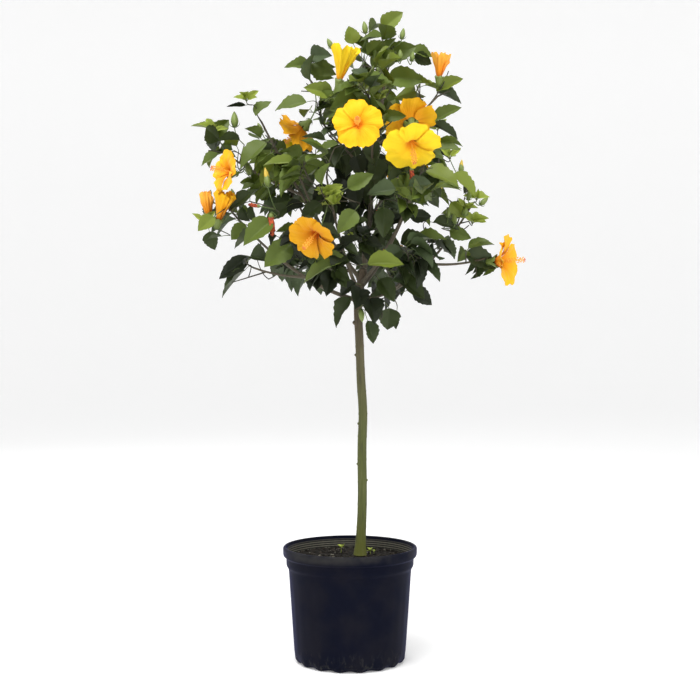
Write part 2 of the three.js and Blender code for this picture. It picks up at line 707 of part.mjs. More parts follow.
/** The pedicel that carries a blossom, from the nearest spot on a shoot to the calyx. */
function layPedicel(flower, shoots) {
  const back = blend([flower.cup, 1], [flower.facing, -bloom.calyx * flower.size * 0.5]);
  const spots = shoots.flatMap((shoot) => shares(0.4, 1, 4).map((t) => shoot.curve.at(t)));
  const root = spots.reduce((best, spot) => (spot.distanceTo(back) < best.distanceTo(back) ? spot : best));
  const run = root.distanceTo(back);
  return new Bow(root, blend([back, 1], [flower.facing, -run * 0.4], [UP, run * 0.1]), back);
}

// ---- The masses ----------------------------------------------------------------------------
/** Every mass's shoots and flowers are laid before any leaf, so that leaves avoid the pedicels. */
const masses = [...laidLimbs.values()].map((limb, index) => {
  const dice = new Dice(index + 1);
  const shoots = growShoots(limb, dice);
  const flowers = laidBlossoms.filter(({ mass }) => mass === limb.name);
  return { limb, dice, shoots, flowers, pedicels: flowers.map((flower) => layPedicel(flower, shoots)) };
});
for (const { limb, pedicels } of masses) {
  obstacles.push(...pedicels.flatMap((pedicel) => stretchesAlong(limb.name, shares(0, 1, 4),
    (t) => pedicel.at(t), () => PEDICEL.tip, () => true)));
}

/** The leafy stem of a mass, carried on through its first shoot. */
function stemSolid(limb, leader) {
  const rings = ringsAlong(limb.curve, limb.entry, 1, STEM.rings, limbRadius(limb, limb.entry), stemTip);
  if (limb.entry > 0) rings[0].centre.addScaledVector(rings[0].way, GAP);
  rings.push(...ringsAlong(leader.curve, 0, 1, SHOOT.rings, stemTip, SHOOT.tip).slice(1));
  const stem = solid(limbGeometry(rings, STEM.sides));
  return limb.entry > 0 ? stem : stem.subtract(parentCutter(limb));
}

/** One mass of foliage: its stem, shoots, leaves and blossoms fused into one solid. */
function massGeometry({ limb, dice, shoots, flowers, pedicels }) {
  const twigs = [limb, ...shoots].flatMap(({ curve, entry = 0 }) => {
    const stops = shares(entry, 1, 5).map((t) => curve.at(t));
    return stops.slice(1).map((stop, index) => [stops[index], stop]);
  });
  const grown = { leaves: [], twigs };
  const leaves = shoots.flatMap((shoot) => growLeaves(limb, shoot, grown, dice));
  const [leader, ...sideShoots] = shoots;
  const thin = [
    ...sideShoots.map(({ curve }) => ringsAlong(curve, 0, 1, SHOOT.rings, SHOOT.root, SHOOT.tip)),
    ...pedicels.map((pedicel) => ringsAlong(pedicel, 0, 1, SHOOT.rings, PEDICEL.root, PEDICEL.tip)),
  ];
  return largestBody(wasm.Manifold.union([
    stemSolid(limb, leader),
    ...thin.map((rings) => solid(limbGeometry(rings, SHOOT.sides))),
    ...leaves.map((leaf) => solid(leafGeometry(leaf))),
    ...flowers.map((flower) => solid(blossomGeometry(flower))),
  ]));
}

// ---- The pot and its fill ------------------------------------------------------------------
/** Turns an outline of [radius, height] pairs round the upright axis. */
function turned(outline, sides) {
  const profile = outline.map(([radius, height]) => new THREE.Vector2(radius, height));
  return new THREE.LatheGeometry(profile, sides).rotateX(Math.PI / 2);
}

const bandFoot = pot.height - pot.lipHeight - pot.bandHeight;
const lipFoot = pot.height - pot.lipHeight;
const innerWall = [
  [pot.rimRadius - 7, pot.height - 4],
  [pot.bandRadius - pot.wall, lipFoot - 2],
  [pot.bandRadius - pot.wall, bandFoot + 1],
  [pot.bodyRadius - pot.wall, bandFoot - 2],
  [pot.footRadius - pot.wall, pot.floor + 6],
  [pot.footRadius - pot.wall - 6, pot.floor],
];

function potGeometry() {
  const round = [0, 30, 60, 90].map((angle) => [
    pot.footRadius - pot.edgeRound * (1 - Math.sin(turn(angle))),
    pot.edgeRound * (1 - Math.cos(turn(angle))),
  ]);
  const outline = [
    [0, 0],
    ...round,
    [pot.bodyRadius, bandFoot - 2],
    [pot.bandRadius, bandFoot],
    [pot.bandRadius, lipFoot],
    [pot.rimRadius, lipFoot + 1.5],
    [pot.rimRadius, pot.height - 2.5],
    [pot.rimRadius - 2.5, pot.height],
    [pot.rimRadius - 5, pot.height],
    ...innerWall,
    [0, pot.floor],
  ];
  let body = solid(turned(outline, pot.sides));
  for (let slot = 0; slot < pot.slots; slot += 1) {
    const cut = new THREE.BoxGeometry(pot.slotReach * 2, pot.slotWidth, pot.slotHeight * 2);
    cut.translate(pot.footRadius + 1, 0, 0).rotateZ(turn((slot + 0.25) * (360 / pot.slots)));
    body = body.subtract(solid(cut));
  }
  return largestBody(body);
}

function soilGeometry() {
  const walls = innerWall.slice(1).map(([radius, height]) => [radius - GAP, height]).reverse();
  walls[0][1] += GAP;
  const top = pot.height - soil.crownDepth;
  const edge = pot.height - soil.edgeDepth;
  const inside = walls.filter(([, height]) => height < edge - 4);
  const outline = [
    [0, pot.floor + GAP],
    ...inside,
    [pot.bandRadius - pot.wall - GAP, edge],
    [soil.flatRadius + 30, top - 1],
    [soil.flatRadius, top],
    [0, top],
  ];
  return mergeVertices(turned(outline, pot.sides));
}

// ---- The whole plant -----------------------------------------------------------------------
const finishes = {
  pot: new THREE.MeshStandardMaterial({ color: 0x191c28, roughness: 0.5, metalness: 0 }),
  soil: new THREE.MeshStandardMaterial({ color: 0x35302a, roughness: 0.95, metalness: 0 }),
  bark: new THREE.MeshStandardMaterial({ color: 0x66603f, roughness: 0.8, metalness: 0 }),
  foliage: new THREE.MeshStandardMaterial({ color: 0x3c5526, roughness: 0.45, metalness: 0 }),
};

const group = new THREE.Group();

function addPiece(name, geometry, finish) {
  const mesh = new THREE.Mesh(geometry, finish);
  mesh.name = name;
  group.add(mesh);
}

addPiece('pot', potGeometry(), finishes.pot);
addPiece('potting-mix', soilGeometry(), finishes.soil);
addPiece('trunk', trunkGeometry(), finishes.bark);
for (const mass of masses) {
  const { limb } = mass;
  if (limb.entry > 0) addPiece(`bough-${limb.name}`, boughGeometry(limb), finishes.bark);
  addPiece(`foliage-${limb.name}`, massGeometry(mass), finishes.foliage);
}

export default group;
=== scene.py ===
# %% [markdown]
# # Hibiscus standard in a nursery pot
# A hibiscus that has been grown on one clear stem, so that its head of leaves and blossoms stands
# like a small tree over a black nursery pot. The construction model gives the pot, the trunk, the
# boughs and the space of every mass of foliage. This lesson dresses it: the shoots grow again by
# the same seeded rule, are carried on to finer twigs, and get real leaves, petals and bark.

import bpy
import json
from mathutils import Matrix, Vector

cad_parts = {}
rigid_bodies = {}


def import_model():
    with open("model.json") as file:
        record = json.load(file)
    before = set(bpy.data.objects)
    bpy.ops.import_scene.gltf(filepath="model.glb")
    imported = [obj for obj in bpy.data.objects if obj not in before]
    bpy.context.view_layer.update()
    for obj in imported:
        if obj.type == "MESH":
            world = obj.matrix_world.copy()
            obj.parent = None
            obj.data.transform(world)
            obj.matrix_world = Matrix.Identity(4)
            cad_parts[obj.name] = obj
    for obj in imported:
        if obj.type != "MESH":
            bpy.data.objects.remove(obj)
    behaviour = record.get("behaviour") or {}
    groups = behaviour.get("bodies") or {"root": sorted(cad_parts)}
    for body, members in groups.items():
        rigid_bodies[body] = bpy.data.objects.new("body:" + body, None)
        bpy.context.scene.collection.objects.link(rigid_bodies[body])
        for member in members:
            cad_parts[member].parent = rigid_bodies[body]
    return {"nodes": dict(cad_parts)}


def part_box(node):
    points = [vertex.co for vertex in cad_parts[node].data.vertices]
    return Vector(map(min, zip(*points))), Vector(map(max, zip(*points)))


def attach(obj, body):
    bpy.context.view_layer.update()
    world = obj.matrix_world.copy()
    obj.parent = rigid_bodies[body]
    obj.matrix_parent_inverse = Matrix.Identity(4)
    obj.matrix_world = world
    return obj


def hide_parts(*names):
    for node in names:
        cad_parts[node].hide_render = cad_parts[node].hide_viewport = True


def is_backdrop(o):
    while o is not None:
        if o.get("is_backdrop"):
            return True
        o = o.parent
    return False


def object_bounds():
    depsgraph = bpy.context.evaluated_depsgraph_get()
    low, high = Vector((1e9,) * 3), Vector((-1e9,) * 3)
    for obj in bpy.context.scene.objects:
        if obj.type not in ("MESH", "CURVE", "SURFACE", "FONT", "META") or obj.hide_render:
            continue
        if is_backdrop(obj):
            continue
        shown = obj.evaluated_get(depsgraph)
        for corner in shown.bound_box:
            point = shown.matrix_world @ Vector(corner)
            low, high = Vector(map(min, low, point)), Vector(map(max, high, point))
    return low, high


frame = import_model()
cad_box = [list(corner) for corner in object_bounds()]

import json
import math

import bpy
import numpy as np
from mathutils import Vector
from mathutils.kdtree import KDTree

MM = 0.001  # the growth rule works in millimetres, Blender in metres
pot_low, pot_high = (np.array(corner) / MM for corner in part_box("pot"))
SOIL_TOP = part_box("potting-mix")[1][2] / MM
foliage_nodes = [name for name in frame["nodes"] if name.startswith("foliage-")]
bough_nodes = [name for name in frame["nodes"] if name.startswith("bough-")]
print(f"pot {pot_high - pot_low} mm, {len(foliage_nodes)} masses, {len(bough_nodes)} boughs")


def add_object(name, data):
    """Puts a new object into the scene, at the origin."""
    made = bpy.data.objects.new(name, data)
    bpy.context.collection.objects.link(made)
    return made


# %% [markdown]
# ## The camera comes first
# The plant is seen level from in front, at about chest height and from three metres away, so the
# pot's mouth shows as a slim ellipse. A level camera keeps the stem upright; the lens is shifted
# down a little in place of tilting the camera, as an architect's camera does.

# %% Camera
EYE_HEIGHT, EYE_DISTANCE = 0.75, 3.0
VIEW_WIDTH = 35 / 24  # metres of the pot's plane that the camera sees from side to side
LENS_SHIFT = -1 / 14  # how far the lens is moved down, as a share of the view's width
SENSOR = 36

camera_data = bpy.data.cameras.new("camera")
camera_data.sensor_width = SENSOR
camera_data.lens = SENSOR * EYE_DISTANCE / VIEW_WIDTH
camera_data.shift_y = LENS_SHIFT
camera = add_object("camera", camera_data)
camera.location = (0, -EYE_DISTANCE, EYE_HEIGHT)
camera.rotation_euler = (math.pi / 2, 0, 0)
bpy.context.scene.camera = camera
print(f"lens {camera_data.lens:.1f} mm")

# %% [markdown]
# ## Helpers for places and directions
# Growth is mostly adding up directions: a shoot leans partly along its parent, partly outwards and
# partly upwards. `blend` adds weighted vectors, `aim` turns a bearing and a rise into a direction.
# Seeded dice throw the same numbers on every run, so the plant is always the same plant.

# %% Vectors, dice and bowed curves
UP = np.array((0.0, 0.0, 1.0))


def point(x, y, z):
    return np.array((x, y, z), float)


def mix(start, end, share):
    return start + (end - start) * share


def unit(vector):
    return vector / np.sqrt(vector @ vector)


def blend(*pairs):
    return sum(np.asarray(vector) * weight for vector, weight in pairs)


def aim(bearing, rise):
    level = math.cos(math.radians(rise))
    angle = math.radians(bearing)
    return point(math.cos(angle) * level, math.sin(angle) * level, math.sin(math.radians(rise)))


def cross_frame(direction):
    """Two unit vectors square to a direction, the first as near to upright as it can be."""
    helper = point(1, 0, 0) if abs(direction[2]) > 0.95 else UP
    first = unit(helper - direction * (helper @ direction))
    return first, np.cross(direction, first)


def round_about(square, angle):
    """The direction at an angle round an axis, from that axis's two square vectors."""
    first, second = square
    return first * math.cos(angle) + second * math.sin(angle)


def smooth(low, high, value):
    """A soft step from 0 to 1 between two values."""
    share = np.clip((value - low) / (high - low), 0, 1)
    return share * share * (3 - 2 * share)


DICE_FACTOR, DICE_STEP, DICE_SPAN = 1664525, 1013904223, 2**32


class Dice:
    """Seeded dice: the same seed always throws the same numbers."""

    def __init__(self, seed):
        self.state = seed * 7919 + 12345
        for _ in range(4):
            self.throw()

    def throw(self):
        self.state = (self.state * DICE_FACTOR + DICE_STEP) % DICE_SPAN
        return self.state / DICE_SPAN

    def between(self, low, high):
        return mix(low, high, self.throw())


class Bow:
    """A curve with one elbow."""

    def __init__(self, start, elbow, end):
        self.start, self.elbow, self.end = start, elbow, end

    def at(self, t):
        return self.start * (1 - t) ** 2 + self.elbow * (2 * t * (1 - t)) + self.end * t**2

    def tangent(self, t):
        return unit(self.start * (t - 1) + self.elbow * (1 - 2 * t) + self.end * t)


# %% [markdown]
# ## The clear stem
# The stem leans and bends a little on its way up, swells at the soil and tapers slowly. Its middle
# is a smooth line through a few bends; the head's limbs leave it between 510 and 600 mm up.

# %% Trunk line
TRUNK_BENDS = [
    (0, 21, 0), (110, 25.5, -2), (225, 25, 1), (295, 27, 3),
    (365, 23, 3), (450, 19.5, 1), (525, 17, -1), (597, 28, 2),
]  # height above the soil, offset to the right, offset to the back
TRUNK_HEIGHT = TRUNK_BENDS[-1][0]
FOLIAGE_FROM = 380
FOOT_RADIUS, HEAD_RADIUS = 9.9, 8.6
FLARE, FLARE_HEIGHT = 4.2, 22
GAP = 0.3
GROUND = SOIL_TOP + GAP
BUD_SCARS = [(155, -10, 3.2), (188, 170, 3), (272, 190, 3.4), (415, 175, 3.6), (482, 185, 5)]


def trunk_at(height):
    last = len(TRUNK_BENDS) - 2
    stretch = max(0, min(last, sum(bend[0] <= height for bend in TRUNK_BENDS) - 1))
    low, high = TRUNK_BENDS[stretch], TRUNK_BENDS[stretch + 1]
    before = TRUNK_BENDS[stretch - 1] if stretch > 0 else low
    after = TRUNK_BENDS[stretch + 2] if stretch < last else high
    span = high[0] - low[0]
    share = (height - low[0]) / span
    offsets = []
    for axis in (1, 2):
        slope_in = (high[axis] - before[axis]) / (high[0] - before[0])
        slope_out = (after[axis] - low[axis]) / (after[0] - low[0])
        offsets.append(
            (2 * share**3 - 3 * share**2 + 1) * low[axis]
            + (share**3 - 2 * share**2 + share) * span * slope_in
            + (3 * share**2 - 2 * share**3) * high[axis]
            + (share**3 - share**2) * span * slope_out)
    return point(*offsets, GROUND + height)


def trunk_tangent(height):
    low, high = max(height - 1, 0), min(height + 1, TRUNK_HEIGHT)
    return unit(trunk_at(high) - trunk_at(low))


def trunk_radius(height):
    taper = mix(FOOT_RADIUS, HEAD_RADIUS, height / TRUNK_HEIGHT)
    return taper + FLARE * math.exp(-height / FLARE_HEIGHT)


print(f"stem {TRUNK_HEIGHT} mm tall, {2 * trunk_radius(0):.0f} mm thick at the soil")

# %% [markdown]
# ## The limbs and their masses
# Every row is one limb: its parent, where it leaves it, where the heart of its mass lies round the
# head's axis (bearing, reach, height), how far it bows down, how thick it is at the root and how
# much room its foliage has. The last number is how many shoots grow there. The rule keeps each
# mass inside its own space, cut off by flat borders halfway to the neighbours.

# %% Limbs
CROWN_AXIS, CROWN_HEART = 12, 1000
LIMB_TIP, STEM_TIP, STEM_SHARE = 2.3, 2.0, 0.72
LIMBS = [
    ("right", "trunk", 534, 356, 238, 942, 95, 5, 96, 4),
    ("left", "trunk", 530, 184, 262, 938, 62, 4.6, 86, 3),
    ("front", "trunk", 548, 251, 178, 990, 60, 4.6, 106, 4),
    ("back-left", "trunk", 541, 138, 200, 1015, 60, 4.6, 110, 4),
    ("back-right", "trunk", 556, 48, 200, 1005, 55, 4.6, 110, 4),
    ("left-upper", "trunk", 572, 181, 196, 1120, 40, 4.4, 92, 3),
    ("front-right", "trunk", 565, 308, 196, 985, 45, 4.4, 106, 4),
    ("top", "trunk", 597, 5, 68, 1262, 0, 6, 106, 5),
    ("low-hanging", "trunk", 512, 318, 62, 742, -14, 2.6, 88, 3),
    ("right-tip", "right", 0.62, 357, 268, 836, 12, 3.2, 74, 3),
    ("right-low", "right", 0.3, 330, 142, 832, 14, 3.4, 96, 3),
    ("left-low", "left", 0.42, 192, 214, 816, 10, 3.2, 90, 3),
    ("front-low", "front", 0.3, 243, 148, 846, 10, 3.2, 98, 3),
    ("back-low-left", "back-left", 0.32, 128, 160, 842, 10, 3.2, 100, 3),
    ("back-low-right", "back-right", 0.32, 60, 160, 838, 10, 3.2, 100, 3),
    ("left-outer", "left-upper", 0.6, 186, 270, 1052, 12, 3, 84, 4),
    ("inner-left", "left-upper", 0.42, 205, 138, 1030, 8, 3, 84, 3),
    ("front-upper", "top", 0.3, 283, 150, 1130, 20, 3.4, 96, 3),
    ("back-upper", "top", 0.36, 84, 157, 1160, 22, 3.4, 104, 4),
    ("inner-upper", "top", 0.42, 200, 70, 1112, 6, 3, 88, 3),
    ("inner-right", "top", 0.24, 12, 118, 1060, 14, 3, 90, 3),
    ("inner-low", "top", 0.07, 292, 84, 912, 4, 3, 98, 3),
    ("left-top", "top", 0.52, 185, 96, 1208, 14, 3.4, 90, 3),
    ("right-top", "top", 0.58, 355, 170, 1172, 16, 3.4, 98, 4),
    ("front-top", "top", 0.64, 305, 96, 1196, 12, 3, 84, 3),
]
BOUGHLESS = {"low-hanging"}


class Limb:
    """One limb from its parent's middle to the heart of its mass."""

    def __init__(self, row, laid):
        (self.name, parent, at, bearing, reach, height, sag, self.root, self.space,
         self.shoots) = row
        on_trunk = parent == "trunk"
        start = trunk_at(at) if on_trunk else laid[parent].curve.at(at)
        if on_trunk and at == TRUNK_HEIGHT:
            start = start + trunk_tangent(at) * GAP
        self.heart = crown_place(bearing, reach, height)
        elbow = blend((start, 0.5), (self.heart, 0.5), (UP, -sag))
        self.curve = Bow(start, elbow, self.heart)
        run = np.linalg.norm(self.heart - start)
        self.entry = 0 if self.name in BOUGHLESS else max(1 - self.space * STEM_SHARE / run, 0.3)
        self.outward = unit(self.heart - point(CROWN_AXIS, 0, CROWN_HEART))

    def radius(self, t):
        if t < self.entry:
            return mix(self.root, LIMB_TIP, t / self.entry)
        start = LIMB_TIP if self.entry > 0 else self.root
        return mix(start, STEM_TIP, (t - self.entry) / (1 - self.entry))


def crown_place(bearing, reach, height):
    return aim(bearing, 0) * reach + point(CROWN_AXIS, 0, height)


limbs = {}
for row in LIMBS:
    limbs[row[0]] = Limb(row, limbs)
print(f"{len(limbs)} limbs, the longest reaches {max(row[4] for row in LIMBS)} mm")

# %% [markdown]
# ## The blossoms' places
# A blossom needs room: leaves keep out of its funnel and out of the air in front of an open one.
# So the blossoms are placed before any leaf. Each has the mass it grows from, its cup's place, the
# way it faces, how far it has opened (1 is flat open, 0.1 a bud about to open) and its size.

# %% Blossoms
BLOSSOMS = [
    ("front-upper", 270, 200, 1090, 268, 8, 1, 1.1),
    ("front-right", 299, 218, 1058, 276, -24, 1, 1.13),
    ("front", 247, 210, 884, 255, -28, 0.9, 0.98),
    ("left-outer", 198, 262, 1020, 214, 8, 0.85, 0.9),
    ("left", 194, 262, 950, 200, 30, 0.42, 0.85),
    ("left", 187, 290, 966, 168, 14, 0.4, 0.7),
    ("right-tip", 356, 312, 828, 355, 6, 1, 1.02),
    ("left-top", 208, 136, 1112, 150, -35, 0.7, 0.85),
    ("top", 260, 62, 1222, 215, 52, 0.45, 0.9),
    ("right-top", 318, 148, 1118, 110, 48, 0.9, 0.9),
    ("right-top", 357, 172, 1218, 330, 76, 0.14, 0.7),
    ("back-left", 128, 240, 1052, 132, 10, 1, 1),
    ("back-right", 62, 232, 1030, 58, 5, 1, 1.04),
    ("back-upper", 88, 196, 1146, 100, 30, 0.95, 0.95),
    ("back-low-left", 118, 208, 876, 115, -18, 0.9, 0.92),
    ("back-low-right", 72, 214, 846, 60, 12, 0.45, 0.85),
]
PETAL, CUP, CALYX = 58, 4.5, 16  # petal length, throat radius, length of the green tube
OPEN_ANGLE = 96
CLEARANCE = 42


class Blossom:
    """Where a blossom sits, and the room it needs."""

    def __init__(self, mass, bearing, reach, height, facing, rise, opened, size):
        self.mass, self.opened, self.size = mass, opened, size
        self.cup = crown_place(bearing, reach, height)
        self.facing = aim(facing, rise)
        self.depth = PETAL * size * mix(1, 0.45, opened)
        self.width = PETAL * size * mix(0.35, 0.95, opened)
        self.clear = self.depth + (CLEARANCE if opened > 0.8 else 8)

    def touched_by(self, places, margins):
        off = places - self.cup
        ahead = off @ self.facing
        aside = np.linalg.norm(off - ahead[:, None] * self.facing, axis=1)
        width = mix(CUP, self.width, np.clip(ahead / self.depth, 0, 1))
        beside = (ahead >= -CALYX * self.size - margins) & (ahead <= self.clear + margins)
        return beside & (aside < width + margins)


blossoms = [Blossom(*row) for row in BLOSSOMS]
print(f"{len(blossoms)} blossoms, {sum(b.opened > 0.8 for b in blossoms)} of them wide open")

# %% [markdown]
# ## Keeping clear
# A real crown sorts itself out by light and wind; here every twig and leaf asks before it grows.
# `Obstacles` answers for many places at once: it holds straight stretches of the trunk, of all
# limbs and of the blossoms' stalks, and measures to all of them in one sweep of arrays.

# %% What foliage keeps clear of
class Obstacles:
    def __init__(self):
        self.rows = []
        self.arrays = None

    def add(self, owner, stops, place_at, radius_at, leafy_at=lambda stop: False):
        for start, stop in zip(stops, stops[1:]):
            self.rows.append(
                (owner, leafy_at(start), place_at(start), place_at(stop), radius_at(start)))
        self.arrays = None

    def packed(self):
        if self.arrays is None:
            owners, leafy, starts, stops, radii = zip(*self.rows)
            starts, stops = np.array(starts), np.array(stops)
            ways = stops - starts
            self.arrays = (np.array(owners), np.array(leafy), starts, ways,
                           (ways**2).sum(axis=1), np.array(radii))
        return self.arrays

    def clear_of(self, limb, places, margins):
        """Whether balls keep clear of every limb but their own leafy stem, and of every blossom."""
        owners, leafy, starts, ways, squares, radii = self.packed()
        places = np.atleast_2d(places)
        margins = np.broadcast_to(margins, len(places)) + 1.0
        off = places[:, None, :] - starts[None]
        along = np.clip((off * ways).sum(axis=2) / squares, 0, 1)
        away = np.linalg.norm(off - along[..., None] * ways, axis=2)
        own = (owners == limb.name) & leafy
        if np.any((away < radii + margins[:, None]) & ~own):
            return False
        return not any(np.any(b.touched_by(places, margins)) for b in blossoms)


def find_borders(limb):
    """The flat borders between a mass and every other: their normals and how far out they lie."""
    others = [other for other in limbs.values() if other is not limb]
    ways = np.array([other.heart - limb.heart for other in others])
    middles = np.array([
        (other.heart @ other.heart - limb.heart @ limb.heart + limb.space**2 - other.space**2) / 2
        for other in others])
    lengths = np.linalg.norm(ways, axis=1)
    return ways.T / lengths, middles / lengths


SPACE_MARGIN, BORDER_MARGIN = 1, 1.4


def in_space(limb, places):
    """Whether places keep inside a mass's own space, and a little off its rim and borders."""
    off = places - limb.heart
    if np.any((off * off).sum(axis=-1) > (limb.space - SPACE_MARGIN) ** 2):
        return False
    normals, distances = limb.borders
    return not np.any(distances - places @ normals < BORDER_MARGIN)


for limb in limbs.values():
    limb.borders = find_borders(limb)
obstacles = Obstacles()
obstacles.add("trunk", np.linspace(FOLIAGE_FROM, TRUNK_HEIGHT, 9), trunk_at, trunk_radius)
for limb in limbs.values():
    obstacles.add(limb.name, np.linspace(0, 1, 13), limb.curve.at, limb.radius,
                  lambda t, limb=limb: t >= limb.entry - 1e-6)
print(f"{len(obstacles.rows)} stretches to keep clear of")

# %% [markdown]
# ## Shoots
# A mass begins with its stem's own tip, carried on, and a few side shoots. Each is the best of
# several throws: of those that fit the space, the one that ends furthest from its sisters.

# %% Shoots and the blossoms' stalks
SHOOT_THROWS = 14
SHOOT_RISE, SHOOT_REACH = (-50, 75), (0.42, 0.66)  # degrees, and a share of the mass's space
LEAST_RUN, LEAST_APART = 25, 20


def grow_shoots(limb, dice):
    shoots = []
    for index in range(limb.shoots):
        leaving = 1 if index == 0 else mix(
            mix(limb.entry, 1, 0.25), 0.95, (index - 1) / (limb.shoots - 1))
        start, ahead = limb.curve.at(leaving), limb.curve.tangent(leaving)
        best, best_apart = None, LEAST_APART
        for _ in range(SHOOT_THROWS):
            spread = aim(dice.between(0, 360), dice.between(*SHOOT_RISE))
            length = limb.space * dice.between(*SHOOT_REACH)
            way = unit(blend((spread, 1), (limb.outward, 0.35), (UP, 0.1),
                             (ahead, 1 if index == 0 else 0)))
            tip = limb.heart + way * length
            run = np.linalg.norm(tip - start)
            elbow = blend((start, 1), (ahead, run * 0.3), (way, run * 0.3), (UP, -run * 0.08))
            curve = Bow(start, elbow, tip)
            stops = np.array([curve.at(t) for t in np.linspace(0.35, 1, 5)])
            apart = min([limb.space, *(np.linalg.norm(o.end - tip) for o, _ in shoots)])
            if (run > LEAST_RUN and in_space(limb, stops)
                    and obstacles.clear_of(limb, stops, 2) and apart > best_apart):
                best, best_apart = curve, apart
        phase = dice.between(0, 360)
        if best:
            shoots.append((best, phase))
    return shoots


def lay_pedicel(blossom, shoots):
    """The stalk that carries a blossom, from the nearest spot on a shoot to the calyx."""
    back = blossom.cup - blossom.facing * (CALYX * blossom.size * 0.5)
    spots = [curve.at(t) for curve, _ in shoots for t in np.linspace(0.4, 1, 4)]
    root = min(spots, key=lambda spot: np.linalg.norm(spot - back))
    run = np.linalg.norm(back - root)
    return Bow(root, blend((back, 1), (blossom.facing, -run * 0.4), (UP, run * 0.1)), back)


masses = []
for seed, limb in enumerate(limbs.values(), start=1):
    dice = Dice(seed)
    shoots = grow_shoots(limb, dice)
    pedicels = [lay_pedicel(b, shoots) for b in blossoms if b.mass == limb.name]
    masses.append((limb, dice, shoots, pedicels))
for limb, _, _, pedicels in masses:
    for pedicel in pedicels:
        obstacles.add(limb.name, np.linspace(0, 1, 4), pedicel.at, lambda t: 1.4, lambda t: True)
print(f"{sum(len(shoots) for _, _, shoots, _ in masses)} shoots")

# %% [markdown]
# ## Leaves, and the finer twigs that fill the crown
# Leaves sit at the golden angle round a shoot, small and close near its tip. Each is tried at a few
# angles until it lies inside the mass, touches no limb and crosses no other leaf. After a mass has
# its first leaves, short side twigs carry the growth on, with smaller leaves, inside the same space.

# %% Growing leaves
GOLDEN_ANGLE = 137.508
LEAF_LENGTH, LEAF_WIDTH, LEAF_STALK = 72, 0.62, 20
LEAF_RETRIES, RETRY_TURN, RETRY_SHRINK = 9, 47, 0.97
LEAF_RIM = np.array([(0.3, 1), (0.68, 0.68), (1, 0), (0.68, -0.68), (0.3, -1)])
SHOULDERS = [(0.26, 0.5, 0.42), (0.48, 0.45, 0.42), (0.7, 0.3, 0.34)]
LEAF_COVER = np.array(
    [(-0.1, 0, 0.06), (0.08, 0, 0.25), (1, 0, 0.08)]
    + [(along, side * across, share) for along, across, share in SHOULDERS for side in (1, -1)]
    + [(0.88, 0, 0.22), (0.3, 1, 0.04), (0.3, -1, 0.04)])


class Leaf:
    """One leaf: where its stalk leaves the shoot, its blade's frame and its size."""

    def __init__(self, start, shoot_way, angle, age, look):
        aside = round_about(cross_frame(shoot_way), math.radians(angle))
        outward = unit(point(start[0] - CROWN_AXIS, start[1], 0))
        self.start = start
        self.length = LEAF_LENGTH * mix(0.5, 1, age) * look["size"]
        self.width = self.length * LEAF_WIDTH
        self.curl = look["curl"]
        stalk_way = unit(blend((shoot_way, 0.55), (aside, 0.8), (outward, 0.15), (UP, 0.1)))
        self.base = start + stalk_way * (LEAF_STALK * mix(0.45, 1, age) * look["size"])
        self.axis = unit(blend((aside, 0.8), (shoot_way, 0.3), (outward, 0.3), (UP, -look["droop"])))
        light = blend((UP, 0.7), (outward, 0.75))
        face = unit(light - self.axis * (light @ self.axis))
        flat = np.cross(self.axis, face)
        self.normal = face * math.cos(look["roll"]) + flat * math.sin(look["roll"])
        self.side = np.cross(self.axis, self.normal)

    def at(self, along, across):
        along, across = np.asarray(along)[..., None], np.asarray(across)[..., None]
        sink = self.curl * self.length * along**2
        return (self.base + self.axis * (along * self.length) + self.side * (across * self.width / 2)
                - self.normal * sink)

    def trace(self):
        """The leaf's flat triangles and straight stretches, for telling whether leaves cross."""
        outline = np.vstack([self.base, self.at(*LEAF_RIM.T)])
        self.middle = self.at(0.45, 0)
        edges = np.stack([outline, np.roll(outline, -1, axis=0)], axis=1)
        hub = np.broadcast_to(self.middle, (len(edges), 1, 3))
        self.facets = np.concatenate([hub, edges], axis=1)
        neck = mix(self.start, self.base, 0.35)
        self.stretches = np.concatenate([edges, [(neck, self.base), (self.base, self.middle)]])

    def fits(self, limb):
        if not in_space(limb, self.at(*LEAF_RIM.T)):
            return False
        along, across, share = LEAF_COVER.T
        return obstacles.clear_of(limb, self.at(along, across), share * self.width / 2)


def any_cut(stretches, facets):
    """Whether any straight stretch cuts any triangle, for all pairs in one sweep."""
    first, second = facets[:, 1] - facets[:, 0], facets[:, 2] - facets[:, 0]
    normals = np.cross(first, second)
    ways = (stretches[:, 1] - stretches[:, 0])[:, None]
    off = stretches[:, 0][:, None] - facets[None, :, 0]
    steepness = -(ways * normals).sum(axis=2)
    steepness = np.where(np.abs(steepness) < 1e-12, np.inf, steepness)
    t = (off * normals).sum(axis=2) / steepness
    stretch, facet = np.nonzero((t >= 0) & (t < 1))
    if len(stretch) == 0:
        return False
    # of the few that reach a triangle's plane, whether they meet it inside its sides
    turned = np.cross(off[stretch, facet], ways[stretch, 0])
    u = (second[facet] * turned).sum(axis=1) / steepness[stretch, facet]
    v = -(first[facet] * turned).sum(axis=1) / steepness[stretch, facet]
    return bool(np.any((u >= 0) & (v >= 0) & (u + v <= 1)))


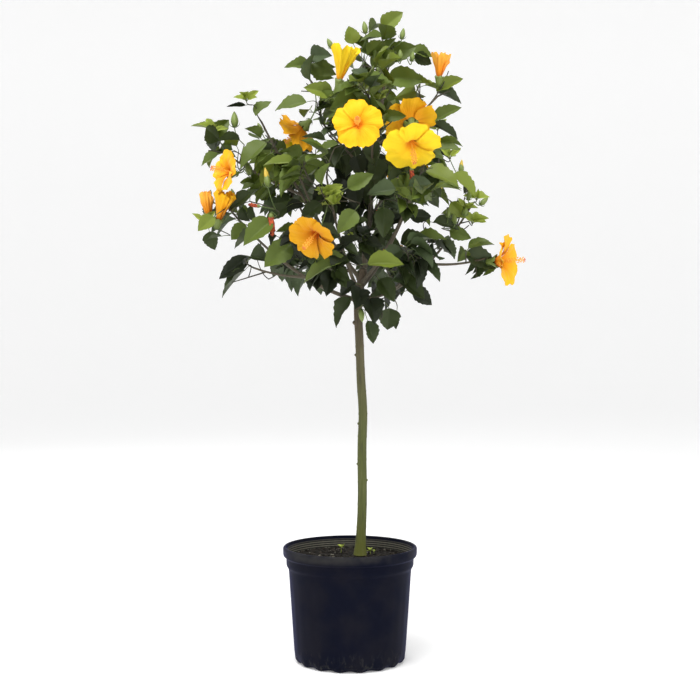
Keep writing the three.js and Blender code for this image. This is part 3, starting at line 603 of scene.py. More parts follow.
class Grown:
    """What a mass has so far: its leaves, and the stretches of its twigs."""

    def __init__(self, limb, shoots):
        self.leaves = []
        self.twigs = []
        self.add_twig(limb.curve, limb.entry)
        for curve, _ in shoots:
            self.add_twig(curve)

    def add_twig(self, curve, start=0):
        stops = [curve.at(t) for t in np.linspace(start, 1, 5)]
        self.twigs += list(zip(stops, stops[1:]))

    def crossed_by(self, leaf):
        near = [other for other in self.leaves
                if abs(other.middle[0] - leaf.middle[0]) <= leaf.length * 1.6
                and math.dist(other.middle, leaf.middle) <= leaf.length * 1.6]
        if near:
            if any_cut(leaf.stretches, np.concatenate([other.facets for other in near])):
                return True
            if any_cut(np.concatenate([other.stretches for other in near]), leaf.facets):
                return True
        return any_cut(np.array(self.twigs), leaf.facets)


def try_leaf(limb, grown, curve, along, angle, age, look):
    """Lays a leaf at the first of several angles that fits, a little smaller at each try."""
    for retry in range(LEAF_RETRIES):
        leaf = Leaf(curve.at(along), curve.tangent(along), angle + retry * RETRY_TURN, age, look)
        leaf.trace()
        if leaf.fits(limb) and not grown.crossed_by(leaf):
            grown.leaves.append(leaf)
            return leaf
        look["size"] *= RETRY_SHRINK
    return None


def throw_look(dice):
    return {
        "size": dice.between(0.86, 1.14),
        "droop": dice.between(0.2, 0.95),
        "roll": dice.between(-0.45, 0.45),
        "curl": dice.between(0.08, 0.2),
    }


# how many leaves, how they crowd to the tip, how much younger the last is and how late that sets
# in, and their size
ON_SHOOT, ON_TWIG = (6, 0.7, 0.5, 2, 1), (4, 1, 0.4, 1, 0.86)


def grow_leaves(limb, grown, curve, phase, dice, habit, spray, tip=None):
    """Leaves along a shoot or a twig, younger and smaller towards its tip."""
    count, crowding, youth, delay, size = habit
    for index in range(count):
        place = index / (count - 1)
        look = throw_look(dice)
        look["size"] *= size
        leaf = try_leaf(limb, grown, curve, mix(0.3, 1, place**crowding),
                        phase + index * GOLDEN_ANGLE, 1 - youth * place**delay, look)
        if leaf:
            leaf.spray = spray
            leaf.tip = leaf.start if tip is None else tip


TWIG_THROWS, TWIG_RISE, TWIG_RUN = 8, (-35, 80), (24, 52)
DENSE_TWIGS, OPEN_TWIGS = 3, 1  # side twigs on a shoot, inside the head and at its outline
OPEN_MASSES = {"right", "right-tip", "right-low", "right-top", "left", "left-outer", "left-upper",
               "left-low", "left-top", "top", "front-top", "low-hanging"}
side_twigs = []


def grow_side_twigs(limb, curve, grown, dice, number):
    """Short twigs from a shoot's sides, each with a few smaller leaves."""
    twigs_here = OPEN_TWIGS if limb.name in OPEN_MASSES else DENSE_TWIGS
    for index in range(twigs_here):
        leaving = mix(0.2, 0.88, (index + dice.between(0, 1)) / twigs_here)
        start, ahead = curve.at(leaving), curve.tangent(leaving)
        for _ in range(TWIG_THROWS):
            spread = aim(dice.between(0, 360), dice.between(*TWIG_RISE))
            way = unit(blend((spread, 1), (ahead, 0.5), (limb.outward, 0.25), (UP, 0.15)))
            run = dice.between(*TWIG_RUN)
            tip = start + way * run
            elbow = blend((start, 1), (ahead, run * 0.3), (way, run * 0.25))
            twig = Bow(start, elbow, tip)
            stops = np.array([twig.at(t) for t in (0.5, 0.75, 1)])
            if in_space(limb, stops) and obstacles.clear_of(limb, stops, 1):
                break
        else:
            continue
        grown.add_twig(twig)
        side_twigs.append(twig)
        phase = dice.between(0, 360)
        grow_leaves(limb, grown, twig, phase, dice, ON_TWIG, (limb.name, number * 10 + index + 1), tip)


leaves = []
for seed, (limb, dice, shoots, _) in enumerate(masses, start=1):
    grown = Grown(limb, shoots)
    for curve, phase in shoots:
        grow_leaves(limb, grown, curve, phase, dice, ON_SHOOT, (limb.name, 0))
    finer = Dice(500 + seed)
    for number, (curve, _) in enumerate(shoots):
        grow_side_twigs(limb, curve, grown, finer, number)
    leaves += grown.leaves
first_leaves = sum(leaf.spray[1] == 0 for leaf in leaves)
print(f"{first_leaves} leaves on the shoots, {len(leaves) - first_leaves} on {len(side_twigs)} side twigs")

# %% [markdown]
# ## Petals
# A hibiscus blossom is a funnel that opens into five broad petals. Each laps over the next like
# tiles in a ring, is narrow at the throat and broad near its ruffled end, and the more the blossom
# has opened, the further it bends out. Its points are worked out in rows from throat to rim: how far
# the petal leans from the axis grows along it, and adding up small steps in that direction gives
# the funnel.

# %% Petal geometry
PETAL_ROWS, PETAL_COLUMNS = 16, 15
PETAL_SPREAD = math.radians(47)  # half the angle round the axis that a petal covers
THROAT = 1.6  # the funnel closes round the column
# How some blossoms hang since the leaves made room, by their row in the table of blossoms:
# bearing, reach, height, facing, rise, opened, size
SETTLED = {
    0: (271, 200, 1089, 268, 8, 1, 0.92), 1: (299.5, 218, 1060, 276, -46, 1, 1.08),
    2: (249, 210, 884, 238, -36, 0.82, 0.98), 3: (198, 262, 1008, 214, 8, 0.85, 0.84),
    4: (193, 288, 910, 310, 66, 0.24, 1.15), 5: (185, 304, 918, 150, 80, 0.18, 1.0),
    6: (356, 286, 830, 335, 2, 0.76, 1.12), 7: (212, 120, 1108, 150, -35, 0.75, 0.98),
    8: (241, 72, 1192, 330, 76, 0.26, 1.4), 9: (318, 150, 1100, 100, 40, 0.95, 1.05),
    10: (357, 173, 1208, 330, 84, 0.26, 0.98),
}
drawn = [Blossom(blossom.mass, *SETTLED[row]) if row in SETTLED else blossom
         for row, blossom in enumerate(blossoms)]


def petal(blossom, number, dice):
    """Points of one petal: rows from the throat to the rim, columns from edge to edge."""
    reach = PETAL * blossom.size
    square = cross_frame(blossom.facing)
    ends = np.linspace(0, 1, PETAL_ROWS)
    lean = math.radians(OPEN_ANGLE * blossom.opened)
    closing = 1.5 * max(0.0, 0.3 - blossom.opened) / 0.3
    leans = lean * (0.34 + 0.72 * smooth(0.12, 0.75, ends)) - closing * smooth(0.45, 1, ends)
    step = reach / (PETAL_ROWS - 1)
    out = CUP + np.concatenate([[THROAT - CUP], np.cumsum(np.sin(leans[1:]) * step)])
    ahead = np.concatenate([[0], np.cumsum(np.cos(leans[1:]) * step)])
    phase, swing = dice.between(0, 6.28), dice.between(0.7, 1.2)
    turn = number * math.tau / 5 + dice.between(-0.06, 0.06)
    points, places = [], []
    for share, row_lean in zip(ends, leans):
        for across in np.linspace(-1, 1, PETAL_COLUMNS):
            # the rim is rounded and lobed, so edge columns end earlier
            lobes = (0.035 * math.cos(3 * math.pi * across + phase)
                     + 0.022 * math.cos(7 * math.pi * across - phase))
            reached = share * (1 - 0.2 * abs(across) ** 2.6 + lobes * share**2)
            radius = np.interp(reached, ends, out)
            forward = np.interp(reached, ends, ahead)
            spread = PETAL_SPREAD * (0.74 + 0.26 * smooth(0, 0.45, share)) * (1 - 0.12 * share**4)
            angle = turn + across * spread
            # one edge lies over the neighbour and the other under it
            lap = across * 0.035 * reach * smooth(0, 0.4, share)
            ruffle = swing * reach * share**2.5 * (
                0.06 * math.sin(2.6 * math.pi * across + phase) * (0.35 + abs(across))
                + 0.022 * math.sin(15 * share + 3 * across + phase))
            crease = -0.02 * reach * math.exp(-(across / 0.12) ** 2) * smooth(0.1, 0.5, share)
            # thickness-wise moves are square to the petal: ahead on a flat one, outward on a tube
            push = lap + ruffle + crease
            radius -= push * math.cos(row_lean)
            forward += push * math.sin(row_lean)
            points.append(blossom.cup + blossom.facing * forward
                          + round_about(square, angle) * max(radius, 1.0))
            places.append(((across + 1) / 2, reached))
    return points, places


petal_dice = Dice(9)
for blossom in drawn:
    blossom.petals = [petal(blossom, number, petal_dice) for number in range(5)]
print(f"{5 * len(drawn)} petals")

# %% [markdown]
# ## Leaves on their own
# Some leaves are seen on their own: the one that tops the head, those that stick out of its
# outline, the large ones that catch the light in front, and dark ones that close the head's
# depths. These have listed places, with their faces to the front, and leaves of the rule that
# would hide them are dropped. Where the nearest twig is far, a new one grows to them. Tufts of
# small new leaves stand where growth has just begun.

# %% Leaves with places of their own
# right, back and height of the blade's foot, bearing and rise of its midrib, length, breadth, green
# The greens here paint light and shade as well: warm on leaves at the top and in front, deep and dark on
# those that fill the middle of the head as painted shade.
SINGLE_LEAVES = [
    (68, 0, 1315, 352, 41, 58, 0.62, "warm"), (68, 0, 1298, 174, -6, 54, 0.5, "mid"),
    (6, -20, 1280, 212, 75, 40, 0.85, "warm"), (83, 10, 1260, 348, 19, 63, 0.6, "mid"),
    (128, 20, 1272, 5, -10, 50, 0.6, "mid"), (180, 0, 1185, 0, 29, 66, 0.42, "warm"),
    (181, 10, 1183, 12, -16, 62, 0.5, "dark"), (177, 0, 1125, 347, 28, 64, 0.5, "mid"),
    (172, 20, 1117, 5, -23, 66, 0.36, "dark"), (-84, 0, 1239, 168, 0, 60, 0.5, "mid"),
    (-36, -60, 1170, 186, 14, 64, 0.52, "warm"), (-88, -95, 1149, 180, -11, 70, 0.6, "mid"),
    (-171, -60, 1071, 196, -42, 82, 0.6, "mid"), (-273, -20, 1052, 173, -30, 46, 0.75, "mid"),
    (-287, -10, 1085, 10, 50, 58, 0.6, "mid"), (-292, -10, 1106, 180, 12, 42, 0.4, "warm"),
    (-195, -20, 1131, 10, 48, 48, 0.6, "mid"), (-110, -150, 1023, 186, -3, 66, 0.45, "warm"),
    (-203, -60, 969, 187, -39, 64, 0.5, "dark"), (-290, -30, 891, 0, -74, 42, 0.75, "dark"),
    (-157, -120, 909, 195, -40, 80, 0.6, "mid"), (-120, -120, 863, 196, -42, 74, 0.6, "mid"),
    (-211, 0, 839, 173, -35, 84, 0.4, "deep"), (-218, -10, 812, 180, -45, 79, 0.4, "dark"),
    (2, -20, 755, 182, -60, 74, 0.5, "dark"), (82, -20, 733, 180, -86, 48, 0.9, "dark"),
    (36, -30, 707, 0, -73, 52, 0.55, "dark"), (97, -10, 720, 125, -83, 34, 0.5, "dark"),
    (35, -150, 821, 348, 3, 76, 0.5, "warm"), (-8, -170, 832, 193, -26, 102, 0.5, "mid"),
    (89, -190, 966, 180, -8, 60, 0.65, "cool"), (10, -195, 924, 200, -52, 60, 0.58, "mid"),
    (67, -150, 933, 270, -80, 64, 0.6, "dark"), (-4, -200, 968, 353, 29, 60, 0.5, "mid"),
    (152, -80, 1011, 348, -20, 80, 0.6, "warm"), (207, -60, 1005, 0, -36, 70, 0.5, "warm"),
    (144, -90, 995, 353, -39, 58, 0.7, "dark"), (122, -60, 920, 6, 3, 48, 0.55, "deep"),
    (133, -90, 871, 354, 6, 66, 0.45, "mid"), (239, -10, 845, 0, -21, 76, 0.58, "cool"),
    (207, -40, 951, 0, -47, 48, 0.5, "warm"), (63, -150, 1114, 354, 0, 52, 0.4, "mid"),
    (78, -30, 1208, 0, -2, 80, 0.5, "mid"), (28, 20, 1044, 200, -40, 58, 0.6, "dark"),
    (48, 30, 1054, 330, -50, 58, 0.6, "deep"), (32, 10, 1012, 250, -65, 54, 0.6, "deep"),
    (62, 20, 1018, 300, -60, 52, 0.6, "dark"), (22, 10, 958, 200, -50, 58, 0.6, "deep"),
    (36, 10, 938, 330, -60, 54, 0.6, "dark"), (-60, -20, 950, 190, -40, 58, 0.6, "dark"),
    (-95, -20, 946, 200, -20, 56, 0.6, "deep"), (-130, -30, 942, 180, -30, 54, 0.6, "dark"),
    (-40, 0, 932, 250, -60, 52, 0.6, "deep"), (-275, -88, 918, 190, -40, 46, 0.7, "warm"),
    (-290, -30, 932, 160, 12, 36, 0.5, "warm"), (-190, -60, 887, 200, -30, 60, 0.55, "dark"),
    (-215, -50, 906, 180, -50, 46, 0.6, "mid"), (170, -60, 908, 0, -10, 58, 0.5, "dark"),
    (205, -40, 893, 350, -20, 50, 0.5, "mid"), (100, -40, 792, 340, -32, 72, 0.6, "dark"),
    (132, -30, 772, 350, -40, 52, 0.6, "deep"), (60, -60, 792, 330, -50, 60, 0.6, "dark"),
    (-45, 30, 990, 200, -50, 58, 0.6, "deep"), (-72, 20, 1012, 190, -60, 54, 0.6, "dark"),
    (-15, 20, 1004, 230, -60, 56, 0.6, "deep"), (12, -10, 990, 280, -76, 58, 0.65, "deep"),
    (42, 0, 994, 250, -70, 52, 0.65, "dark"), (-10, -40, 1068, 230, -50, 60, 0.6, "dark"),
    (12, -20, 1048, 300, -60, 58, 0.6, "deep"), (-25, -30, 1042, 200, -30, 56, 0.55, "dark"),
    (-42, 10, 960, 320, -70, 50, 0.6, "dark"), (18, 30, 968, 330, -40, 50, 0.6, "deep"),
    (-25, 40, 1069, 300, -62, 62, 0.62, "dark"), (-58, 30, 1060, 340, -38, 58, 0.6, "dark"),
    (47, -20, 1069, 215, -72, 60, 0.6, "deep"), (5, 30, 1080, 240, -70, 60, 0.62, "dark"),
    (-30, 40, 1030, 330, -60, 56, 0.6, "deep"), (-62, 20, 972, 320, -60, 56, 0.62, "dark"),
    (-22, 30, 975, 280, -70, 56, 0.62, "deep"), (22, 40, 960, 250, -70, 54, 0.6, "deep"),
    (40, -70, 1075, 300, -70, 58, 0.6, "dark"), (58, -60, 1040, 220, -70, 56, 0.6, "dark"),
    (44, -60, 1010, 300, -65, 54, 0.6, "dark"), (-216, -20, 1153, 180, -3, 43, 0.22, "deep"),
    (-24, -120, 1062, 172, -18, 52, 0.5, "mid"), (-50, -100, 1072, 190, 10, 50, 0.4, "dark"),
    (134, 20, 1262, 5, -22, 44, 0.6, "dark"), (-262, -60, 880, 195, -8, 34, 0.4, "dark"),
]
NEW_TUFTS = [
    (-42, -195, 954, 14), (-34, -190, 936, 8), (-282, -20, 1100, 5), (-214, -20, 1164, 8),
    (236, -30, 938, 8), (262, -20, 960, 5), (252, -30, 910, 7), (-300, -30, 910, 6),
    (58, -120, 1150, 5), (206, -30, 1044, 5), (-110, 190, 1090, 6), (130, 190, 1040, 6),
    (10, 210, 890, 6), (190, 120, 1120, 5),
]  # right, back, height and how many leaves
CLEARINGS = [
    (250, 1208, 48), (-198, 1168, 42), (-118, 1213, 32), (-195, 1113, 22), (290, 948, 55),
    (262, 1165, 40), (178, 940, 24), (-205, 781, 36), (142, 1302, 28), (45, 1337, 20),
    (-318, 1084, 26), (192, 820, 27), (125, 728, 25), (98, 1312, 32),
]  # right, height and radius: where sky shows through from the front
PETAL_ROOM = 5.5
IN_VIEW = 11  # the first blossoms of the table are the ones that face the front
# how near, seen from the front, and how far behind a leaf still hides another or a blossom
HIDING, OPEN_HIDING, IN_FRONT = 26, 20, 25


class SingleLeaf(Leaf):
    """A leaf with a place of its own."""

    def __init__(self, base, axis, length, breadth, green, roll=0):
        self.base, self.axis, self.green = base, axis, green
        self.length, self.width = length, length * breadth
        light = point(0, -0.85, 0.5)
        face = unit(light - axis * (light @ axis))
        self.normal = face * math.cos(roll) + np.cross(axis, face) * math.sin(roll)
        self.side = np.cross(axis, self.normal)
        self.width /= math.cos(roll)
        self.curl = 0.12
        self.middle = base + axis * (length * 0.45)
        self.start = base


petal_tree = KDTree(5 * len(drawn) * PETAL_ROWS * PETAL_COLUMNS)
for blossom in drawn:
    for points, _ in blossom.petals:
        for place in points:
            petal_tree.insert(place, 0)
petal_tree.balance()


def meets_petal(leaf):
    """Whether any of a few places on a leaf lies against a petal."""
    along, across = np.meshgrid(np.linspace(0.04, 1, 9), [-0.85, -0.4, 0, 0.4, 0.85])
    places = leaf.at(along.ravel(), across.ravel())
    return any(petal_tree.find(place)[2] < PETAL_ROOM for place in places)


def in_clearing(place):
    return any(math.hypot(place[0] - right, place[2] - height) < radius
               for right, height, radius in CLEARINGS)


def pruned(curve):
    """How far along a twig goes before it sticks out into a clearing."""
    return next((t for t in np.linspace(1, 0.3, 8) if not in_clearing(curve.at(t))), 0.3)


def hides(leaf, place, room):
    off = leaf.middle - place
    return math.hypot(off[0], off[2]) < room and off[1] < IN_FRONT


roll_dice = Dice(21)
singles = [SingleLeaf(point(right, back, height), aim(bearing, rise), length, breadth, green,
                      roll_dice.between(-0.6, 0.6))
           for right, back, height, bearing, rise, length, breadth, green in SINGLE_LEAVES]
singles = [single for single in singles if not meets_petal(single)]
in_view = [(single.middle, HIDING) for single in singles]
for blossom in drawn[:IN_VIEW]:
    room = HIDING + OPEN_HIDING * blossom.opened
    in_view += [(blossom.cup + blossom.facing * (ahead * blossom.size), room) for ahead in (0, 24, 46)]
shown = [leaf for leaf in leaves
         if not in_clearing(leaf.middle) and not in_clearing(leaf.tip) and not meets_petal(leaf)
         and not any(hides(leaf, place, room) for place, room in in_view)]
leafy_tips = {tuple(leaf.tip) for leaf in shown}
leafy_twigs = [twig for twig in side_twigs if tuple(twig.end) in leafy_tips]
wood_spots = [curve.at(t) for _, _, shoots, _ in masses for curve, _ in shoots
              for t in (0.3, 0.5, 0.75, 1) if t <= pruned(curve)]
wood_spots += [twig.at(t) for twig in leafy_twigs for t in (0.5, 0.75, 1)]
new_twigs = []


def nearest_spot(place):
    """The nearest place on the wood that is there so far."""
    return min(wood_spots, key=lambda spot: math.dist(spot, place))


def grow_twig_to(place, way, stalk):
    """Where a stalk to a place starts: on wood close by, or on a twig that grows there for it."""
    root = nearest_spot(place)
    run = math.dist(root, place)
    if run < stalk * 2:
        return root
    end = place - way * stalk
    twig = Bow(root, blend((end, 1), (way, -run * 0.35), (UP, -run * 0.1)), end)
    new_twigs.append(twig)
    wood_spots.extend(twig.at(t) for t in (0.5, 1))
    return end


for single in singles:
    single.start = grow_twig_to(single.base, single.axis, LEAF_STALK * 0.7)
tuft_dice = Dice(303)
for right, back, height, count in NEW_TUFTS:
    foot = point(right, back, height)
    tuft_start = grow_twig_to(foot, UP, 4)
    for number in range(count):
        axis = aim(number * GOLDEN_ANGLE, tuft_dice.between(5, 60))
        small = SingleLeaf(foot + axis * 3, axis, tuft_dice.between(22, 38), 0.45, "young")
        small.start = tuft_start
        small.curl = tuft_dice.between(0.06, 0.25)
        singles.append(small)
print(f"{len(leaves) - len(shown)} leaves make room for {len(singles)} with places of their own")
print(f"{len(leafy_twigs)} of {len(side_twigs)} side twigs keep leaves, {len(new_twigs)} twigs are new")

# %% [markdown]
# ## Recipes for finishes
# Every finish is a small graph of nodes around one Principled BSDF. `Recipe` keeps the graph short
# to write: `node` makes any node from its type, sockets and settings, and a `Term` is a number that
# varies over the surface, so that `1 - mask * 0.5` adds the Math nodes it needs. `grained` is the
# recipe for the many small parts that have one colour and a fine grain.

# %% Node recipes
def linear(red, green, blue):
    """A colour as the eye names it, 0 to 255, turned into light's own scale."""
    values = np.array((red, green, blue)) / 255
    straight = np.where(values <= 0.04045, values / 12.92, ((values + 0.055) / 1.055) ** 2.4)
    return (*map(float, straight), 1.0)


class Graph:
    """A graph of nodes."""

    def node(self, kind, sockets=None, **settings):
        """Adds a node. sockets holds its inputs, each a value or what another node gives."""
        made = self.tree.nodes.new(kind)
        for key, value in settings.items():
            setattr(made, key, value)
        for key, value in (sockets or {}).items():
            value = getattr(value, "socket", value)
            if isinstance(value, bpy.types.NodeSocket):
                self.tree.links.new(value, made.inputs[key])
            else:
                made.inputs[key].default_value = value
        return made.outputs


class Term:
    """A number that varies over a surface. Arithmetic on it adds Math nodes."""

    def __init__(self, recipe, socket):
        self.recipe, self.socket = recipe, socket

    def math(self, operation, *others):
        values = dict(enumerate([self, *others]))
        return Term(self.recipe, self.recipe.node("ShaderNodeMath", values, operation=operation)[0])

    def __add__(self, other):
        return self.math("ADD", other)

    def __rsub__(self, other):
        return (self * -1) + other

    def __mul__(self, other):
        return self.math("MULTIPLY", other)

    __radd__ = __add__
    __rmul__ = __mul__

    def between(self, low, high):
        """0 under low, 1 over high, and a soft step from one to the other."""
        step = self.recipe.node("ShaderNodeMapRange", {"Value": self, "From Min": low, "From Max": high},
                                interpolation_type="SMOOTHSTEP")
        return Term(self.recipe, step[0])


class Recipe(Graph):
    """One finish: a material, its Principled BSDF, and short ways to add nodes."""

    def __init__(self, name, **surface):
        self.material = bpy.data.materials.new(name)
        self.material.use_nodes = True
        self.tree = self.material.node_tree
        self.surface = self.tree.nodes["Principled BSDF"]
        for key, value in surface.items():
            socket = key.replace("_", " ").title().replace("Ior", "IOR")
            self.surface.inputs[socket].default_value = value

    def feed(self, socket, value):
        self.tree.links.new(getattr(value, "socket", value), self.surface.inputs[socket])

    def coordinates(self, scale):
        places = self.node("ShaderNodeTexCoord")["Object"]
        return self.node("ShaderNodeMapping", {"Vector": places, "Scale": scale})["Vector"]

    def along(self, axis):
        """Object coordinates along X, Y or Z, in metres."""
        places = self.node("ShaderNodeTexCoord")["Object"]
        return Term(self, self.node("ShaderNodeSeparateXYZ", {"Vector": places})[axis])

    def noise(self, size, detail=3.0, stretch=(1, 1, 1), rough=0.5):
        """Noise from 0 to 1 with blotches of about the given size in metres."""
        sockets = {"Vector": self.coordinates(stretch), "Scale": 1 / size, "Detail": detail,
                   "Roughness": rough}
        return Term(self, self.node("ShaderNodeTexNoise", sockets)["Fac"])

    def mix(self, factor, first, second):
        return self.node("ShaderNodeMix", {0: factor, 6: first, 7: second}, data_type="RGBA")[2]

    def bump(self, height, distance, strength):
        sockets = {"Height": height, "Distance": distance, "Strength": strength}
        self.feed("Normal", self.node("ShaderNodeBump", sockets)["Normal"])


def grained(name, colour, grain, depth, strength, **surface):
    """A finish of one colour with a fine grain in relief; grain is what `noise` takes."""
    recipe = Recipe(name, base_color=colour, **surface)
    recipe.bump(recipe.noise(*grain), depth, strength)
    return recipe.material


# %% [markdown]
# ## Meshes from arrays and from Geometry Nodes
# Petals and sepals each have their own curve, so they are worked out in arrays and joined by
# `Batch`. What repeats or follows a path, such as leaves, twigs, anthers and bark chips, is made by
# Geometry Nodes. `NodeTree` builds such a tree and `grow` runs it on an object, then keeps only the
# plain mesh, because neither instances nor live modifiers survive the trip to another program.

# %% Mesh and tree helpers
class Batch:
    """Many small shapes of one kind, joined into one mesh."""

    def __init__(self, *shape):
        self.points, self.faces, self.places = [], [], []
        self.count = 0
        if shape:
            self.add(*shape)

    def add(self, points, faces, places=None):
        self.points.append(np.asarray(points, float))
        self.faces += [tuple(self.count + corner for corner in face) for face in faces]
        self.places.append(np.zeros((len(points), 2)) if places is None else places)
        self.count += len(points)

    def mesh_object(self, name, material):
        mesh = bpy.data.meshes.new(name)
        points = np.concatenate(self.points) * MM
        mesh.from_pydata(points.tolist(), [], self.faces)
        mesh.materials.append(material)
        corners = np.zeros(len(mesh.loops), int)
        mesh.loops.foreach_get("vertex_index", corners)
        if any(np.any(places) for places in self.places):
            layer = mesh.uv_layers.new(name="OFBake")
            layer.data.foreach_set("uv", np.concatenate(self.places)[corners].ravel())
        mesh.polygons.foreach_set("use_smooth", [True] * len(mesh.polygons))
        mesh.update()
        return add_object(name, mesh)


def grid_faces(rows, columns, closed=False):
    """The quads of a sheet of points, row by row; closed joins the last column to the first."""
    last = columns if closed else columns - 1
    return [(row * columns + column, row * columns + (column + 1) % columns,
             (row + 1) * columns + (column + 1) % columns, (row + 1) * columns + column)
            for row in range(rows - 1) for column in range(last)]


def skin_faces(rings, sides, turned=False):
    """The faces of closed rings of points between two poles, which are the first point and the last."""
    order = -1 if turned else 1
    pairs = [(side, (side + 1) % sides) for side in range(sides)]
    end = 1 + (rings - 1) * sides
    faces = [tuple(1 + corner for corner in face)[::order]
             for face in grid_faces(rings, sides, closed=True)]
    faces += [(0, *(1 + after, 1 + side)[::order]) for side, after in pairs]
    return faces + [(end + sides, *(end + side, end + after)[::order]) for side, after in pairs]


def evaluated_mesh(piece, name):
    """What a piece's modifiers make of it, as a plain mesh; the modifiers go."""
    evaluated = piece.evaluated_get(bpy.context.evaluated_depsgraph_get())
    mesh = bpy.data.meshes.new_from_object(evaluated)
    mesh.name = name
    piece.modifiers.clear()
    return mesh


class NodeTree(Graph):
    """A Geometry Nodes tree, with named inputs."""

    def __init__(self, name, inputs):
        self.tree = bpy.data.node_groups.new(name, "GeometryNodeTree")
        interface = self.tree.interface
        interface.new_socket("Geometry", in_out="OUTPUT", socket_type="NodeSocketGeometry")
        self.sockets = {"Geometry": interface.new_socket(
            "Geometry", in_out="INPUT", socket_type="NodeSocketGeometry").identifier}
        for label, kind in inputs.items():
            made = interface.new_socket(label, in_out="INPUT", socket_type=f"NodeSocket{kind}")
            self.sockets[label] = made.identifier
        self.given = self.tree.nodes.new("NodeGroupInput").outputs

    def attribute(self, name, kind):
        return self.node("GeometryNodeInputNamedAttribute", {"Name": name}, data_type=kind)["Attribute"]

    def shapes(self):
        """The objects of the collection that was given, one by one."""
        return self.node("GeometryNodeCollectionInfo", {
            "Collection": self.given["Shapes"], "Separate Children": True, "Reset Children": True})[0]

    def finish(self, geometry, smooth=True):
        """Realize Instances, shading and Set Material close every tree."""
        real = self.node("GeometryNodeRealizeInstances", {"Geometry": geometry})[0]
        shaded = self.node("GeometryNodeSetShadeSmooth", {"Geometry": real, "Shade Smooth": smooth})[0]
        done = self.node("GeometryNodeSetMaterial",
                         {"Geometry": shaded, "Material": self.given["Material"]})[0]
        self.tree.links.new(done, self.tree.nodes.new("NodeGroupOutput").inputs[0])
        return self

    def grow(self, seedling, name, **inputs):
        """Runs the tree on an object and returns the result as a plain mesh object."""
        modifier = seedling.modifiers.new("grow", "NODES")
        modifier.node_group = self.tree
        for label, value in inputs.items():
            modifier[self.sockets[label.replace("_", " ")]] = value
        seedling.update_tag()
        mesh = evaluated_mesh(seedling, name)
        bpy.data.objects.remove(seedling)
        return add_object(name, mesh)


def seed_object(name, points, edges=(), **attributes):
    """A bare mesh whose points carry attributes, for a tree to grow from."""
    mesh = bpy.data.meshes.new(name)
    mesh.from_pydata((np.asarray(points) * MM).tolist(), list(edges), [])
    for key, values in attributes.items():
        values = np.asarray(values)
        kind, field = {(1, "i"): ("INT", "value"), (1, "f"): ("FLOAT", "value"),
                       (2, "f"): ("FLOAT_VECTOR", "vector")}[(values.ndim, values.dtype.kind)]
        mesh.attributes.new(key, kind, "POINT").data.foreach_set(field, values.ravel())
    return add_object(name, mesh)


def finished(piece, slot, *nodes):
    """What every piece gets: it rides on the one body and hides the construction parts it stands for; slot
    is not used.
    """
    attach(piece, "root")
    if nodes:
        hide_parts(*nodes)
    triangles = sum(len(polygon.vertices) - 2 for polygon in piece.data.polygons)
    print(f"{piece.name}: {triangles} triangles")


# %% [markdown]
# ## Stem, boughs and twigs as tubes along paths
# All wood is the same idea at different sizes: a path with a radius at every point, and a ring swept
# along it. A curve's own bevel could do that, but Geometry Nodes can go on to push the bark in and
# out: fine ridges run along the stem, so the noise is stretched lengthwise.

# %% Tube tree
def tube_tree():
    tree = NodeTree("tubes along paths", {
        "Sides": "Int", "Relief": "Float", "Grain": "Float", "Material": "Material"})
    paths = tree.node("GeometryNodeMeshToCurve", {"Mesh": tree.given["Geometry"]})[0]
    ring = tree.node("GeometryNodeCurvePrimitiveCircle",
                     {"Resolution": tree.given["Sides"], "Radius": 1.0})[0]
    tube = tree.node("GeometryNodeCurveToMesh", {
        "Curve": paths, "Profile Curve": ring, "Scale": tree.attribute("radius", "FLOAT"),
        "Fill Caps": True})[0]
    place = tree.node("GeometryNodeInputPosition")[0]
    stretched = tree.node("ShaderNodeVectorMath", {0: place, 1: (1, 1, 0.09)}, operation="MULTIPLY")[0]
    noise = tree.node("ShaderNodeTexNoise", {
        "Vector": stretched, "Scale": tree.given["Grain"], "Detail": 4.0})["Fac"]
    swing = tree.node("ShaderNodeMath", {0: noise, 1: 0.5}, operation="SUBTRACT")[0]
    height = tree.node("ShaderNodeMath", {0: swing, 1: tree.given["Relief"]}, operation="MULTIPLY")[0]
    normal = tree.node("GeometryNodeInputNormal")[0]
    push = tree.node("ShaderNodeVectorMath", {0: normal, "Scale": height}, operation="SCALE")[0]
    barked = tree.node("GeometryNodeSetPosition", {"Geometry": tube, "Offset": push})[0]
    return tree.finish(barked)


class Paths:
    """Paths with a radius at every point, in millimetres."""

    def __init__(self):
        self.points, self.radii, self.edges = [], [], []

    def add(self, points, radii):
        first = len(self.points)
        self.points += list(points)
        self.radii += list(np.broadcast_to(radii, len(points)))
        self.edges += [(first + step, first + step + 1) for step in range(len(points) - 1)]

    def along(self, curve, stop, steps, root, tip):
        shares = np.linspace(0, stop, steps)
        self.add([curve.at(t) for t in shares], np.linspace(root, tip, steps))

    def grow(self, name, material, sides, relief=0.0, grain=300.0):
        seedling = seed_object(name, self.points, self.edges, radius=np.array(self.radii) * MM)
        return TUBES.grow(seedling, name, Sides=sides, Relief=relief * MM, Grain=grain, Material=material)


TUBES = tube_tree()

# %% [markdown]
# The bark changes as the stem gets older and higher: mossy yellow-green at the soil, olive along
# most of the clear stem, and a dry grey-brown close under the head. Thin pale streaks follow the
# grain. Young wood in the crown is darker and greener.

